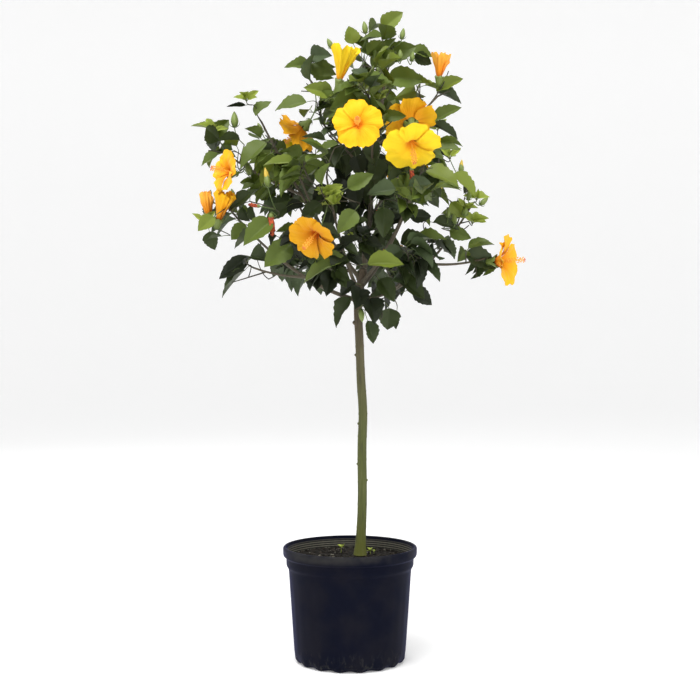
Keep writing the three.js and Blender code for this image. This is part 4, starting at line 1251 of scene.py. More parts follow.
# %% Bark finishes
def bark_finish():
    recipe = Recipe("bark", roughness=0.78)
    height = recipe.along("Z")
    streaks = recipe.noise(0.004, 5.0, (1, 1, 0.06), 0.6)
    blotches = recipe.noise(0.05, 3.0, (1, 1, 0.5))
    mossy, olive, dry = linear(92, 96, 30), linear(79, 85, 36), linear(90, 77, 62)
    low = recipe.mix((height + blotches * 0.06).between(0.26, 0.36), mossy, olive)
    high = recipe.mix((height + blotches * 0.16).between(0.5, 0.84), low, dry)
    dark = recipe.mix(streaks.between(0.5, 0.72) * 0.55, high, linear(50, 48, 32))
    recipe.feed("Base Color", recipe.mix(streaks.between(0.5, 0.28) * 0.4, dark, linear(104, 104, 68)))
    recipe.bump(streaks, 0.0008, 0.7)
    return recipe.material


bark = bark_finish()
bough_wood, young_wood = [
    grained(name, colour, (0.003, 3.0, (1, 1, 0.2)), 0.0003, 0.5, roughness=0.65)
    for name, colour in (("bough-wood", linear(84, 76, 60)), ("young-wood", linear(58, 54, 38)))]

# %% [markdown]
# ## The trunk
# The stem's radius follows its taper, its flare at the soil, a faint swelling where each leaf once
# grew, and the stubby bud scars. The path has a point every two millimetres, so that the rings of
# old leaf scars stay crisp.

# %% Trunk
LEAF_SCAR_STEP, LEAF_SCAR_HEIGHT = 47, 0.35


def stem_radius(height):
    scars = LEAF_SCAR_HEIGHT * math.exp(-(((height + 12) % LEAF_SCAR_STEP) - LEAF_SCAR_STEP / 2) ** 2 / 5)
    neck = 1 - 0.35 * smooth(TRUNK_HEIGHT - 6, TRUNK_HEIGHT, height)
    return (trunk_radius(height) + scars) * neck


trunk_paths = Paths()
heights = np.arange(0, TRUNK_HEIGHT + 1, 2.0)
trunk_paths.add([trunk_at(h) for h in heights], [stem_radius(h) for h in heights])
trunk = trunk_paths.grow("trunk-bark", bark, 40, relief=1.1, grain=170.0)
finished(trunk, "bark", "trunk")

scar_paths = Paths()
for height, bearing, size in BUD_SCARS:
    out = aim(bearing, 25)
    seat = trunk_at(height) + aim(bearing, 0) * (trunk_radius(height) - size * 0.9)
    steps = np.linspace(0, 1, 7)
    scar_paths.add([seat + out * (size * 1.75 * step) for step in steps],
                   [size * (1.05 - 0.2 * step) * math.sqrt(1.02 - step**4) for step in steps])
finished(scar_paths.grow("bud-scars", bark, 12, relief=1.4, grain=260.0), "bark")

# %% [markdown]
# ## The boughs
# Each bough is one tapering limb. A collar swells where it leaves its parent, and the leafy stem
# inside the mass carries it on to the first shoot, so no joint shows.

# %% Boughs
bough_paths = Paths()
for limb, _, shoots, _ in masses:
    shares = np.linspace(0, 1, 34)
    collar = 1 + 0.35 * np.exp(-shares * 22)
    bough_paths.add([limb.curve.at(t) for t in shares],
                    [limb.radius(t) * swell for t, swell in zip(shares, collar)])
boughs = bough_paths.grow("boughs-bark", bough_wood, 12, relief=0.7, grain=260.0)
finished(boughs, "bark", *bough_nodes)

# %% [markdown]
# Shoots and side twigs are this year's wood. They thin towards their tips, where the youngest
# leaves and the buds sit.

# %% Twigs and stalks
twig_paths = Paths()
for _, _, shoots, _ in masses:
    for number, (curve, _) in enumerate(shoots):
        twig_paths.along(curve, pruned(curve), 12, STEM_TIP if number == 0 else 1.7, 1.05)
for twig in leafy_twigs + new_twigs:
    twig_paths.along(twig, 1, 7, 1.2, 0.8)
twigs = twig_paths.grow("twigs", young_wood, 7, relief=0.25, grain=400.0)
finished(twigs, "bark", *foliage_nodes)

# %% [markdown]
# ## The leaf
# A hibiscus leaf is egg-shaped with a drawn-out tip, coarse teeth on its outer half, and a surface
# that is pulled in along the side veins. It is folded a little along its midrib, its edge waves, and
# its tip hangs. A few shapes with different folds and waves are enough for the whole head, because
# every leaf also has its own size, droop and roll.

# %% Leaf shapes
LEAF_ROWS, LEAF_ACROSS = 13, (-1, -0.6, -0.12, 0, 0.12, 0.6, 1)
OUTLINE_ALONG = [0, 0.04, 0.1, 0.2, 0.32, 0.45, 0.6, 0.74, 0.86, 0.94, 1]
OUTLINE_WIDTH = [0.1, 0.42, 0.7, 0.94, 1.0, 0.97, 0.84, 0.62, 0.36, 0.17, 0.0]


def leaf_shape(fold, sag, wave, phase, twist):
    """One leaf, a unit long along Y and a unit wide along X, with its face up along Z."""
    along = np.linspace(0, 1, LEAF_ROWS)
    half = np.interp(along, OUTLINE_ALONG, OUTLINE_WIDTH) / 2
    tooth = np.where(np.arange(LEAF_ROWS) % 2 == 0, 1.07, 0.95)
    half[4:-1] *= tooth[4:-1]
    vein = np.where(np.arange(LEAF_ROWS) % 2 == 0, -1, 1) * 0.02
    points = []
    for row, (t, width) in enumerate(zip(along, half)):
        for across in LEAF_ACROSS:
            x = across * width
            inner = 1 - abs(2 * abs(across) - 1)
            edge = wave * abs(across) * math.sin(9 * t + phase + (2.1 if across > 0 else 0))
            z = fold * abs(x) + edge * math.sin(math.pi * min(t * 1.1, 1)) + vein[row] * inner
            turn = twist * t
            x, z = x * math.cos(turn) - z * math.sin(turn), x * math.sin(turn) + z * math.cos(turn)
            points.append((x, t * (1 - 0.55 * sag * t), z - sag * t**2))
    return np.array(points), grid_faces(LEAF_ROWS, len(LEAF_ACROSS))


def make_shapes(name, shapes):
    """A collection of plain objects, in order, for a tree to pick from."""
    collection = bpy.data.collections.new(name)
    bpy.context.scene.collection.children.link(collection)
    for index, (points, faces) in enumerate(shapes):
        mesh = bpy.data.meshes.new(f"{name}-{index:02d}")
        mesh.from_pydata(np.asarray(points).tolist(), [], list(faces))
        collection.objects.link(bpy.data.objects.new(mesh.name, mesh))
    return collection


def discard_shapes(collection):
    for shape in list(collection.objects):
        bpy.data.objects.remove(shape)
    bpy.data.collections.remove(collection)


LEAF_SAGS = [0.06, 0.1, 0.14, 0.19, 0.25]
shape_dice = Dice(77)
leaf_shapes = make_shapes("leaf", [
    leaf_shape(fold=shape_dice.between(0.3, 0.75), sag=sag, wave=shape_dice.between(0.015, 0.045),
               phase=shape_dice.between(0, 6), twist=shape_dice.between(-0.35, 0.35))
    for sag in LEAF_SAGS for _ in range(3)])


def leaf_tree():
    tree = NodeTree("leaves on their stalks", {"Shapes": "Collection", "Material": "Material"})
    along = tree.node("FunctionNodeAlignRotationToVector", {
        "Vector": tree.attribute("axis", "FLOAT_VECTOR")}, axis="Y")[0]
    facing = tree.node("FunctionNodeAlignRotationToVector", {
        "Rotation": along, "Vector": tree.attribute("face", "FLOAT_VECTOR")}, axis="Z", pivot_axis="Y")[0]
    placed = tree.node("GeometryNodeInstanceOnPoints", {
        "Points": tree.given["Geometry"], "Instance": tree.shapes(), "Pick Instance": True,
        "Instance Index": tree.attribute("shape", "INT"), "Rotation": facing,
        "Scale": tree.attribute("size", "FLOAT_VECTOR")})[0]
    return tree.finish(placed)


LEAF_TREE = leaf_tree()

# %% [markdown]
# ## Greens
# Leaves low and deep in the head take a deep bottle green, leaves high and far out a warm mid green,
# and the newest at the tips of some sprays are yellow-green. The dark greens are partly the colour of
# old leaves and partly painted shade, and the light ones are partly painted light. Each spray takes
# one of these plain greens, more often a light one the higher and the further out it grows. The
# cuticle is waxy, so all of them shine softly.

# %% Greens by spray
GREENS = {
    "deep": linear(33, 41, 21),
    "dark": linear(51, 63, 27),
    "cool": linear(68, 82, 50),
    "mid": linear(87, 103, 37),
    "warm": linear(110, 124, 42),
    "young": linear(146, 160, 64),
}
HEAD_FOOT, HEAD_HEIGHT, HEAD_REACH = 780, 500, 270
LIGHT_LIMITS = {"deep": 0.18, "dark": 0.42, "cool": 0.5, "mid": 0.76}


def leaf_finish(name, colour):
    recipe = Recipe(f"leaf-{name}", base_color=colour, specular_ior_level=0.3)
    recipe.feed("Roughness", recipe.noise(0.02, 2.0) * 0.16 + 0.42)
    recipe.bump(recipe.noise(0.0035, 2.0), 0.0004, 0.35)
    return recipe.material


def spray_green(leaf, dice):
    """A spray's green, lighter the higher and further out it grows: painted light and painted shade."""
    height = (leaf.start[2] - HEAD_FOOT) / HEAD_HEIGHT
    outness = math.hypot(leaf.start[0] - CROWN_AXIS, leaf.start[1]) / HEAD_REACH
    # painted light and shade: a higher, further-out spray takes a lighter green
    light = 0.66 * height + 0.3 * outness + dice.between(-0.26, 0.26)
    return next((green for green, limit in LIGHT_LIMITS.items() if light < limit), "warm")


spray_greens = {}
tone_dice = Dice(31)
for leaf in shown:
    if leaf.spray not in spray_greens:
        spray_greens[leaf.spray] = spray_green(leaf, tone_dice)
    leaf.green = spray_greens[leaf.spray]
    # near the top the leaves reach out level instead of hanging
    leaf.axis = unit(leaf.axis + UP * (0.45 * smooth(880, 1120, leaf.start[2])))
blades = shown + singles

for green, colour in GREENS.items():
    group = [leaf for leaf in blades if leaf.green == green]
    pick = Dice(len(group) + 1)
    points = seed_object(
        "leaf-points", [leaf.base for leaf in group],
        axis=np.array([leaf.axis for leaf in group]), face=np.array([leaf.normal for leaf in group]),
        size=np.array([(leaf.width, leaf.length, leaf.length) for leaf in group]) * MM,
        shape=np.array([3 * int(np.argmin([abs(leaf.curl - sag) for sag in LEAF_SAGS]))
                        + int(pick.between(0, 3)) for leaf in group]))
    made = LEAF_TREE.grow(
        points, f"leaves-{green}", Shapes=leaf_shapes, Material=leaf_finish(green, colour))
    finished(made, "foliage", *foliage_nodes)
discard_shapes(leaf_shapes)

# %% [markdown]
# Every leaf hangs on a stalk that bows a little under its weight.

# %% Leaf stalks
stalk_paths = Paths()
for leaf in blades:
    way = leaf.base - leaf.start
    elbow = leaf.start + way * 0.6 + UP * (np.linalg.norm(way) * 0.1)
    stalk_paths.along(Bow(leaf.start, elbow, leaf.base + leaf.axis * 2), 1, 5, 0.85, 0.6)
stalk_finish = Recipe("leaf-stalk", base_color=linear(84, 98, 44))
stalk_finish.feed("Roughness", stalk_finish.noise(0.01) * 0.2 + 0.4)
stalks = stalk_paths.grow("leaf-stalks", stalk_finish.material, 5)
finished(stalks, "foliage", *foliage_nodes)

# %% [markdown]
# Fresh petals are a clear warm yellow with a small orange glow at the throat. On their second day
# they turn golden, and half-closed ones are nearer orange. Blossoms that stand in the light get a
# lighter, yellower copy of the fresh yellow, and golden ones in shade a darker copy of the golden:
# painted light and painted shade. The glow has its place on the petal, so it follows the petal's
# own map from throat to rim, and fine veins fan out along it.

# %% Petal finishes
def petal_finish(name, rim, middle, throat):
    recipe = Recipe(name, roughness=0.62, sheen_weight=0.06, specular_ior_level=0.15)
    places = recipe.node("ShaderNodeUVMap", uv_map="OFBake")["UV"]
    parts = recipe.node("ShaderNodeSeparateXYZ", {"Vector": places})
    across, along = Term(recipe, parts["X"]), Term(recipe, parts["Y"])
    veins = (across * 66).math("SINE") * 0.5 + 0.5
    glow = recipe.mix(along.between(0.34, 0.06), middle, throat)
    body = recipe.mix(along.between(0.3, 0.85), glow, rim)
    recipe.feed("Base Color", recipe.mix(veins * along.between(1.0, 0.3) * 0.2, body, middle))
    recipe.bump(veins, 0.0006, 0.4)
    return recipe.material


# sunny is the fresh yellow made lighter, as painted light; shaded is the golden made darker, as painted
# shade
PETAL_TONES = {
    "sunny": (linear(254, 216, 38), linear(254, 206, 34), linear(247, 156, 34)),
    "fresh": (linear(249, 190, 26), linear(248, 181, 24), linear(243, 146, 28)),
    "shaded": (linear(222, 160, 20), linear(214, 138, 14), linear(200, 96, 12)),
    "golden": (linear(248, 188, 30), linear(242, 162, 22), linear(224, 112, 16)),
    "orange": (linear(250, 182, 70), linear(240, 148, 30), linear(220, 104, 18)),
}
# by row of the table of blossoms; sunny marks painted light and shaded marks painted shade
BLOSSOM_TONES = ["fresh", "sunny", "shaded", "golden", "golden", "orange", "golden", "shaded",
                 "sunny", "golden", "orange", "sunny", "fresh", "golden", "sunny", "orange"]
for tone, colours in PETAL_TONES.items():
    batch = Batch()
    for blossom, blossom_tone in zip(drawn, BLOSSOM_TONES):
        if blossom_tone == tone:
            for points, places in blossom.petals:
                batch.add(points, grid_faces(PETAL_ROWS, PETAL_COLUMNS), places)
    finished(batch.mesh_object(f"petals-{tone}", petal_finish(f"petal-{tone}", *colours)),
             "blossom", *foliage_nodes)

# %% [markdown]
# ## Column, anthers and stigma
# From the throat stands the column: a thin tube that carries short threads with yellow anthers round
# its outer half, and ends in five arms with round pads. Threads and column are tubes along paths;
# anthers and pads are small balls set on points.

# %% Columns
COLUMN, COLUMN_RADIUS = 60, 2.0
ANTHERS = 44


def ball_tree():
    tree = NodeTree("balls on points", {"Material": "Material"})
    ball = tree.node("GeometryNodeMeshIcoSphere", {"Radius": 1.0, "Subdivisions": 2})[0]
    placed = tree.node("GeometryNodeInstanceOnPoints", {
        "Points": tree.given["Geometry"], "Instance": ball,
        "Scale": tree.attribute("size", "FLOAT_VECTOR")})[0]
    return tree.finish(placed)


BALL_TREE = ball_tree()
column_paths, anther_places, pad_places = Paths(), [], []
thread_dice = Dice(12)
for blossom in drawn:
    if blossom.opened < 0.35:
        continue
    run = COLUMN * blossom.size
    end = blossom.cup + blossom.facing * run
    column = Bow(blossom.cup, blend((blossom.cup, 0.5), (end, 0.5), (UP, 1.5)), end)
    column_paths.along(column, 0.95, 12, COLUMN_RADIUS, 0.9)
    square = cross_frame(blossom.facing)
    for number in range(ANTHERS):
        out = round_about(square, math.radians(number * GOLDEN_ANGLE))
        foot = column.at(mix(0.4, 0.96, number / ANTHERS))
        tip = foot + (out + blossom.facing * 0.35) * thread_dice.between(3.6, 5.8)
        column_paths.add([foot, tip], 0.28)
        anther_places.append(tip)
    for number in range(5):
        tip = column.at(1) + round_about(square, number * math.tau / 5) * 2.8
        column_paths.add([column.at(0.94), tip], 0.4)
        pad_places.append(tip)
column_finish = grained("column", linear(247, 184, 62), (0.002,), 0.0002, 0.4, roughness=0.6)
finished(column_paths.grow("columns", column_finish, 8), "blossom")
for name, places, size, colour in (("anthers", anther_places, 1.3, linear(240, 172, 58)),
                                   ("stigma-pads", pad_places, 1.2, linear(214, 104, 72))):
    points = seed_object(name + "-points", places, size=np.full((len(places), 3), size * MM))
    pollen = grained(name, colour, (0.0008,), 0.0003, 0.8, roughness=0.8)
    finished(BALL_TREE.grow(points, name, Material=pollen), "blossom")

# %% [markdown]
# ## Calyx, buds and spent blossoms
# All three are skins turned round an axis: a row of rings, each with its own distance along the axis
# and its own radius, closed by a point at each end. A ripple round the ring gives the calyx its five
# teeth, the bud its ribs and a spent blossom its twisted folds.

# %% Turned skins
def revolved(origin, axis, rows, sides, ripple):
    """A closed skin round an axis. rows are (ahead, radius); the first and last are points."""
    square = cross_frame(axis)
    points = [origin + axis * rows[0][0]]
    for index, (ahead, radius) in enumerate(rows[1:-1], start=1):
        for side in range(sides):
            angle = side / sides * math.tau
            swell, shift = ripple(angle, index / (len(rows) - 1))
            points.append(origin + axis * (ahead + shift) + round_about(square, angle) * (radius * swell))
    points.append(origin + axis * rows[-1][0])
    return points, skin_faces(len(rows) - 2, sides)


def calyx_teeth(angle, share):
    tooth = abs(math.cos(2.5 * angle))
    return 1 + 0.12 * tooth * share, (9 * tooth - 4) * smooth(0.55, 0.75, share)


green_parts, stalk_parts = Batch(), Paths()
for blossom in drawn:
    size = blossom.size
    back = -CALYX * size
    swell = CUP + 1.6
    rows = [(back, 0), (back + 1, 3.2 * size), (back * 0.7, 5 * size), (back * 0.3, swell + 0.6),
            (2, swell + 0.9 + 5 * blossom.opened), (6 * size, swell + 1 + 9 * blossom.opened),
            (2, swell + 4 * blossom.opened), (back * 0.3, 3.4), (back * 0.5, 0)]
    green_parts.add(*revolved(blossom.cup, blossom.facing, rows, 20, calyx_teeth))
    # the ring of narrow bracts behind the calyx
    foot = blossom.cup + blossom.facing * (back + 1)
    for number in range(7):
        out = round_about(cross_frame(blossom.facing), number / 7 * math.tau)
        bract = Bow(foot, foot + out * 7, foot + out * 9 + blossom.facing * 7)
        stalk_parts.along(bract, 1, 5, 1.0, 0.25)
    shoots = next(shoots for limb, _, shoots, _ in masses if limb.name == blossom.mass)
    stalk_parts.along(lay_pedicel(blossom, shoots), 1, 8, 1.1, 1.5)

# %% [markdown]
# Buds stand on stalks of their own above the leaves. Green ones are all calyx; a ripe one shows the
# rolled petals at its tip. A spent blossom rolls itself up, turns brick red and hangs.

# %% Buds and spent blossoms
BUDS = [
    (-238, -30, 1106, 100, 76, 1.15, 0), (-203, -60, 1006, 130, 62, 1.1, 0),
    (-164, -110, 976, 120, 70, 1.05, 0.8), (32, -40, 1298, 120, 75, 0.9, 0),
    (107, -20, 1290, 60, 70, 0.85, 0), (-36, -60, 1264, 150, 60, 0.8, 0),
    (104, -40, 1244, 100, 75, 0.75, 0),
    (128, -20, 1244, 70, 70, 0.75, 0), (243, -40, 955, 60, 75, 0.8, 0),
    (268, -30, 946, 20, 40, 0.8, 0), (236, -50, 922, 90, 60, 0.85, 0), (228, -30, 1010, 60, 78, 0.85, 0.2),
    (200, -60, 918, 80, 70, 0.7, 0), (214, -60, 906, 100, 60, 0.8, 0),
    (-240, -30, 962, 120, 60, 0.7, 0), (22, -60, 732, 0, -84, 0.9, 0),
    (-60, 150, 1190, 110, 70, 0.9, 0.5), (110, 200, 1010, 60, 60, 0.9, 0.7),
    (-150, 170, 960, 140, 60, 0.9, 0), (60, 120, 1240, 70, 75, 0.85, 0),
    (190, 150, 980, 40, 55, 0.85, 0.5), (-190, 110, 1110, 150, 65, 0.85, 0),
]  # right, back, height, bearing and rise of its axis, size, ripeness
SPENT = [
    (122, -150, 1010, 280, -75, 0.7), (-158, -120, 920, 290, -76, 0.9),
    (-182, -110, 938, 150, 10, 0.55), (60, 214, 960, 80, -75, 0.95),
]  # the same, without a ripeness
BUD_ROWS = [(0, 0), (0.6, 3.0), (5, 5.4), (11, 6.8), (17, 6.2), (23, 4.4), (28, 2.2), (31, 0)]
PETAL_TIP_ROWS = [(14, 0), (15, 4.2), (24, 4.9), (31, 4.2), (37, 2.6), (42, 0.9), (44, 0)]
SPENT_ROWS = [(0, 0), (1, 3.4), *((4 * row, 4.6 + 1.7 * math.sin(row * 0.3)) for row in range(1, 12)),
              (47, 2.6), (50, 0)]


def scaled(rows, size):
    return [(ahead * size, radius * size) for ahead, radius in rows]


def stand_on_stalk(place, axis):
    root = nearest_spot(place)
    run = math.dist(root, place)
    stalk_parts.along(Bow(root, place - axis * (run * 0.5), place + axis), 1, 9, 0.95, 1.1)


def five_ribs(angle, share):
    return 1 + 0.07 * math.cos(5 * angle), 0.0


def rolled(angle, share):
    return 1 + 0.13 * math.cos(3 * angle + 7 * share), 0.0


def crumpled(angle, share):
    folds = 0.2 * math.cos(4 * angle + 9 * share) + 0.14 * math.sin(7 * angle - 16 * share)
    return 1 + folds + 0.12 * math.sin(37 * share), 1.6 * math.sin(3 * angle + 20 * share)


ripe_tips, spent_parts = Batch(), Batch()
for right, back, height, bearing, rise, size, ripeness in BUDS:
    place, axis = point(right, back, height), aim(bearing, rise)
    green_parts.add(*revolved(place, axis, scaled(BUD_ROWS, size), 15, five_ribs))
    if ripeness > 0:
        tip = [(ahead * (0.82 + 0.18 * ripeness), radius) for ahead, radius in PETAL_TIP_ROWS]
        ripe_tips.add(*revolved(place, axis, scaled(tip, size), 15, rolled))
    for number in range(6):
        out = round_about(cross_frame(axis), number * math.tau / 6)
        bract = Bow(place + axis, place + out * 9 * size, place + (out * 10 + axis * 10) * size)
        stalk_parts.along(bract, 1, 5, 1.0, 0.3)
    stand_on_stalk(place, axis)
for right, back, height, bearing, rise, size in SPENT:
    place, axis = point(right, back, height), aim(bearing, rise)
    spent_parts.add(*revolved(place, axis, scaled(SPENT_ROWS, size), 24, crumpled))
    green_parts.add(*revolved(place - axis * 5 * size, axis, scaled(
        [(0, 0), (1, 3), (6, 5.6), (12, 6.2), (13, 4), (6, 0)], size), 15, five_ribs))
    stand_on_stalk(place - axis * 5 * size, axis)

sepal_finish = grained("sepal", linear(112, 128, 58), (0.003, 3.0, (1, 1, 0.4)), 0.0004, 0.5,
                       roughness=0.5)
ripe_finish = grained("rolled-petal", linear(206, 176, 66), (0.002, 3.0, (1, 1, 0.3)), 0.0003, 0.6,
                      roughness=0.6)
spent_finish = Recipe("spent-petal", roughness=0.75)
crumples = spent_finish.noise(0.006, 4.0)
spent_finish.feed("Base Color", spent_finish.mix(
    crumples.between(0.35, 0.65), linear(104, 34, 24), linear(196, 84, 36)))
spent_finish.bump(crumples, 0.0008, 0.8)
pedicel_finish = grained("flower-stalk", linear(86, 104, 50), (0.002,), 0.0002, 0.5, roughness=0.55)
finished(green_parts.mesh_object("calyxes-and-buds", sepal_finish), "foliage")
finished(ripe_tips.mesh_object("bud-tips", ripe_finish), "blossom")
finished(spent_parts.mesh_object("spent-blossoms", spent_finish.material), "blossom")
finished(stalk_parts.grow("flower-stalks", pedicel_finish, 7), "foliage")

# %% [markdown]
# ## The pot
# A blow-moulded nursery pot is one thin skin: a rolled lip, a plain band under it, a body that tapers
# to a scalloped foot, and arched drain holes where wall and floor meet. It is turned from one
# outline, the scallops and the faint upright ribs move its points in and out, and a Boolean cuts
# the drain holes through.

# %% Pot outline
RIM_RADIUS = (pot_high[0] - pot_low[0]) / 2
POT_HEIGHT = pot_high[2]
LIP, BAND = 20, 20
BAND_RADIUS, BODY_RADIUS, FOOT = RIM_RADIUS - 6.7, RIM_RADIUS - 11.5, RIM_RADIUS - 24.5
WALL, POT_FLOOR = 2.0, 3.0
POT_SIDES = 192
DRAINS, DRAIN_WIDTH, DRAIN_HEIGHT = 8, 9, 15
LIP_FOOT, BAND_FOOT = POT_HEIGHT - LIP, POT_HEIGHT - LIP - BAND
WALL_FOOT, WALL_HEAD = (FOOT + 1.2, 26), (BODY_RADIUS - 0.4, BAND_FOOT - 6)
LIP_TOP = (RIM_RADIUS - 5.5, POT_HEIGHT - 0.6)
INSIDE_FLOOR = POT_FLOOR + 2.4
CORNER_RADIUS, CORNER_STEPS = 3, 4


def eased(corners):
    """An outline of (radius, height) corners with each inner corner rounded."""
    corners = [np.array(corner, float) for corner in corners]
    line = [corners[0]]
    for before, corner, after in zip(corners, corners[1:], corners[2:]):
        to_before, to_after = before - corner, after - corner
        cut = min(CORNER_RADIUS, 0.45 * np.linalg.norm(to_before), 0.45 * np.linalg.norm(to_after))
        bow = Bow(corner + unit(to_before) * cut, corner, corner + unit(to_after) * cut)
        line += [bow.at(t) for t in np.linspace(0, 1, CORNER_STEPS)]
    return line + [corners[-1]]


outer = eased([
    (0, 3), (FOOT - 22, 3), (FOOT - 18, 0), (FOOT - 6, 0), (FOOT, 8), WALL_FOOT,
    WALL_HEAD, (BAND_RADIUS - 0.6, BAND_FOOT + 1), (BAND_RADIUS, LIP_FOOT - 3),
    (RIM_RADIUS - 1.2, LIP_FOOT + 1), (RIM_RADIUS - 0.3, LIP_FOOT + 5), (RIM_RADIUS, POT_HEIGHT - 3),
    (RIM_RADIUS - 2.5, POT_HEIGHT), LIP_TOP,
])
ring_steps = [(BAND_RADIUS - WALL + 1.3 * (step % 2), POT_HEIGHT - 8 - 2.3 * step) for step in range(11)]
inner = eased([
    LIP_TOP, (RIM_RADIUS - 6.5, POT_HEIGHT - 5), *ring_steps, (BODY_RADIUS - WALL, BAND_FOOT - 4),
    (FOOT - WALL, 14), (FOOT - WALL - 9, INSIDE_FLOOR), (0, INSIDE_FLOOR),
])
long_wall = [mix(np.array(WALL_FOOT), np.array(WALL_HEAD), t) for t in np.linspace(0.1, 0.9, 9)]
foot_rows = [place for place in outer if place[1] < POT_HEIGHT / 2]
rim_rows = [place for place in outer if place[1] >= POT_HEIGHT / 2]
pot_outline = [*foot_rows, *long_wall, *rim_rows, *inner[1:]]


def pot_point(radius, height, angle, outside):
    """A place on the pot's skin, with its scalloped foot and its faint ribs."""
    if outside:
        scallop = 0.5 + 0.5 * math.cos(DRAINS * 2 * angle)
        edge = smooth(FOOT - 30, FOOT - 8, radius)
        radius -= 3.4 * scallop * (1 - smooth(4, 22, height)) * edge
        height += 2.4 * scallop * (1 - smooth(1, 14, height)) * edge
        on_body = smooth(20, 60, height) * (1 - smooth(BAND_FOOT - 50, BAND_FOOT - 8, height))
        radius += 0.14 * math.cos(30 * angle) * on_body
    return point(math.cos(angle) * radius, math.sin(angle) * radius, height)


def pot_skin():
    """The pot's skin, and a mark for each of its points: 1 on the inside, 0 on the outside."""
    outside_rows = len(foot_rows) + len(long_wall) + len(rim_rows)
    middle_rows = pot_outline[1:-1]
    points = [point(0, 0, pot_outline[0][1])]
    for row, (radius, height) in enumerate(middle_rows, start=1):
        points += [pot_point(radius, height, side / POT_SIDES * math.tau, row < outside_rows)
                   for side in range(POT_SIDES)]
    points.append(point(0, 0, pot_outline[-1][1]))
    inside = [row >= outside_rows for row in range(1, len(middle_rows) + 1) for _ in range(POT_SIDES)]
    return Batch(points, skin_faces(len(middle_rows), POT_SIDES)), [0.0, *map(float, inside), 1.0]


def drain_cutter():
    """Eight arches that stick in through the wall at the foot."""
    batch = Batch()
    half = DRAIN_WIDTH / 2
    arch = [(-half, -4), (half, -4), *((half * math.cos(a), DRAIN_HEIGHT - half + half * math.sin(a))
                                       for a in np.linspace(0, math.pi, 9))]
    for drain in range(DRAINS):
        angle = (drain + 0.25) * math.tau / DRAINS
        out, aside = aim(math.degrees(angle), 0), aim(math.degrees(angle) + 90, 0)
        rings = [[out * reach + aside * across + UP * height for across, height in arch]
                 for reach in (FOOT - 12, FOOT + 12)]
        count = len(arch)
        faces = [(i, i + count, (i + 1) % count + count, (i + 1) % count) for i in range(count)]
        faces += [tuple(range(count)), tuple(range(2 * count - 1, count - 1, -1))]
        batch.add(rings[0] + rings[1], faces)
    return batch


def cut_away(body, tool):
    """Cuts one object out of another and keeps the result as a plain mesh."""
    modifier = body.modifiers.new("cut", "BOOLEAN")
    modifier.operation, modifier.solver, modifier.object = "DIFFERENCE", "EXACT", tool
    body.data = evaluated_mesh(body, body.name)
    bpy.data.objects.remove(tool)


# %% [markdown]
# The plastic is black with a cold blue cast where light grazes it. Handling and watering leave it
# dull in patches, and inside the rim it is grey with dried soil.

# %% Pot finish
def pot_finish():
    recipe = Recipe("black-plastic", specular_tint=linear(120, 138, 236), specular_ior_level=0.03,
                    sheen_weight=0.2, sheen_roughness=0.3, sheen_tint=linear(28, 48, 190))
    height = recipe.along("Z")
    inside = Term(recipe, recipe.node("ShaderNodeAttribute", attribute_name="inside")["Fac"])
    blotches = recipe.noise(0.06, 4.0)
    specks = recipe.noise(0.006, 5.0, (1, 1, 0.35), 0.65)
    plastic = recipe.mix(blotches.between(0.35, 0.7), linear(17, 19, 29), linear(25, 25, 31))
    rings = (height * 1365).math("SINE") * 0.45 + 0.6
    dusty = inside * (specks * 0.8 + 0.5) * rings * height.between(0.2325, 0.229)
    rim_dust = height.between(0.216, 0.23) * (1 - inside) * blotches.between(0.3, 0.65) * 0.14
    splash = height.between(0.05, 0.0) * specks.between(0.5, 0.7) * 0.2
    dust = (dusty + rim_dust + splash).math("MINIMUM", 1.0)
    recipe.feed("Base Color", recipe.mix(dust, plastic, linear(108, 106, 94)))
    recipe.feed("Roughness", blotches * 0.16 + 0.44 + dust * 0.2)
    recipe.bump(recipe.noise(0.0012, 2.0), 0.0002, 0.25)
    return recipe.material


pot_batch, inside_marks = pot_skin()
pot = pot_batch.mesh_object("nursery-pot", pot_finish())
pot.data.attributes.new("inside", "FLOAT", "POINT").data.foreach_set("value", inside_marks)
cut_away(pot, drain_cutter().mesh_object("drain-cutter", pot.data.materials[0]))
finished(pot, "pot", "pot")

# %% [markdown]
# ## Potting mix
# The mix is moist peat with bark. Its surface is a rough, slightly mounded sheet that goes down
# inside the wall, so that no gap shows. Loose chips of bark lie on it: a few shard shapes are dealt
# out over the top face by Geometry Nodes, turned at random and partly sunk.

# %% Soil and bark chips
SOIL_RADIUS = BAND_RADIUS - WALL - 0.6
SOIL_RINGS, SOIL_SIDES, SOIL_FOOT = 34, 120, POT_FLOOR + 8


def soil_height(radius, angle):
    x, y = radius * math.cos(angle), radius * math.sin(angle)
    lumps = (math.sin(x * 0.11 + 1.3) * math.cos(y * 0.13) + 0.6 * math.sin(x * 0.31 + y * 0.27)
             + 0.4 * math.cos(x * 0.53 - y * 0.47 + 2))
    return SOIL_TOP - 2.2 + lumps * 0.9 - 3.2 * (radius / SOIL_RADIUS) ** 3


def soil_surface(rings=SOIL_RINGS):
    """The mix as a closed body, or only the middle of its top and what lies under that."""
    radii = [SOIL_RADIUS * (ring / SOIL_RINGS) for ring in range(1, rings + 1)]
    rows = [(radius, None) for radius in radii]
    rows += [(BODY_RADIUS - WALL - 8, BAND_FOOT - 16), (FOOT - WALL - 12, SOIL_FOOT)]
    points = [point(0, 0, soil_height(0, 0))]
    for radius, height in rows:
        for side in range(SOIL_SIDES):
            angle = side / SOIL_SIDES * math.tau
            level = soil_height(radius, angle) if height is None else height
            points.append(point(math.cos(angle) * radius, math.sin(angle) * radius, level))
    points.append(point(0, 0, SOIL_FOOT))
    return Batch(points, skin_faces(len(rows), SOIL_SIDES, turned=True))


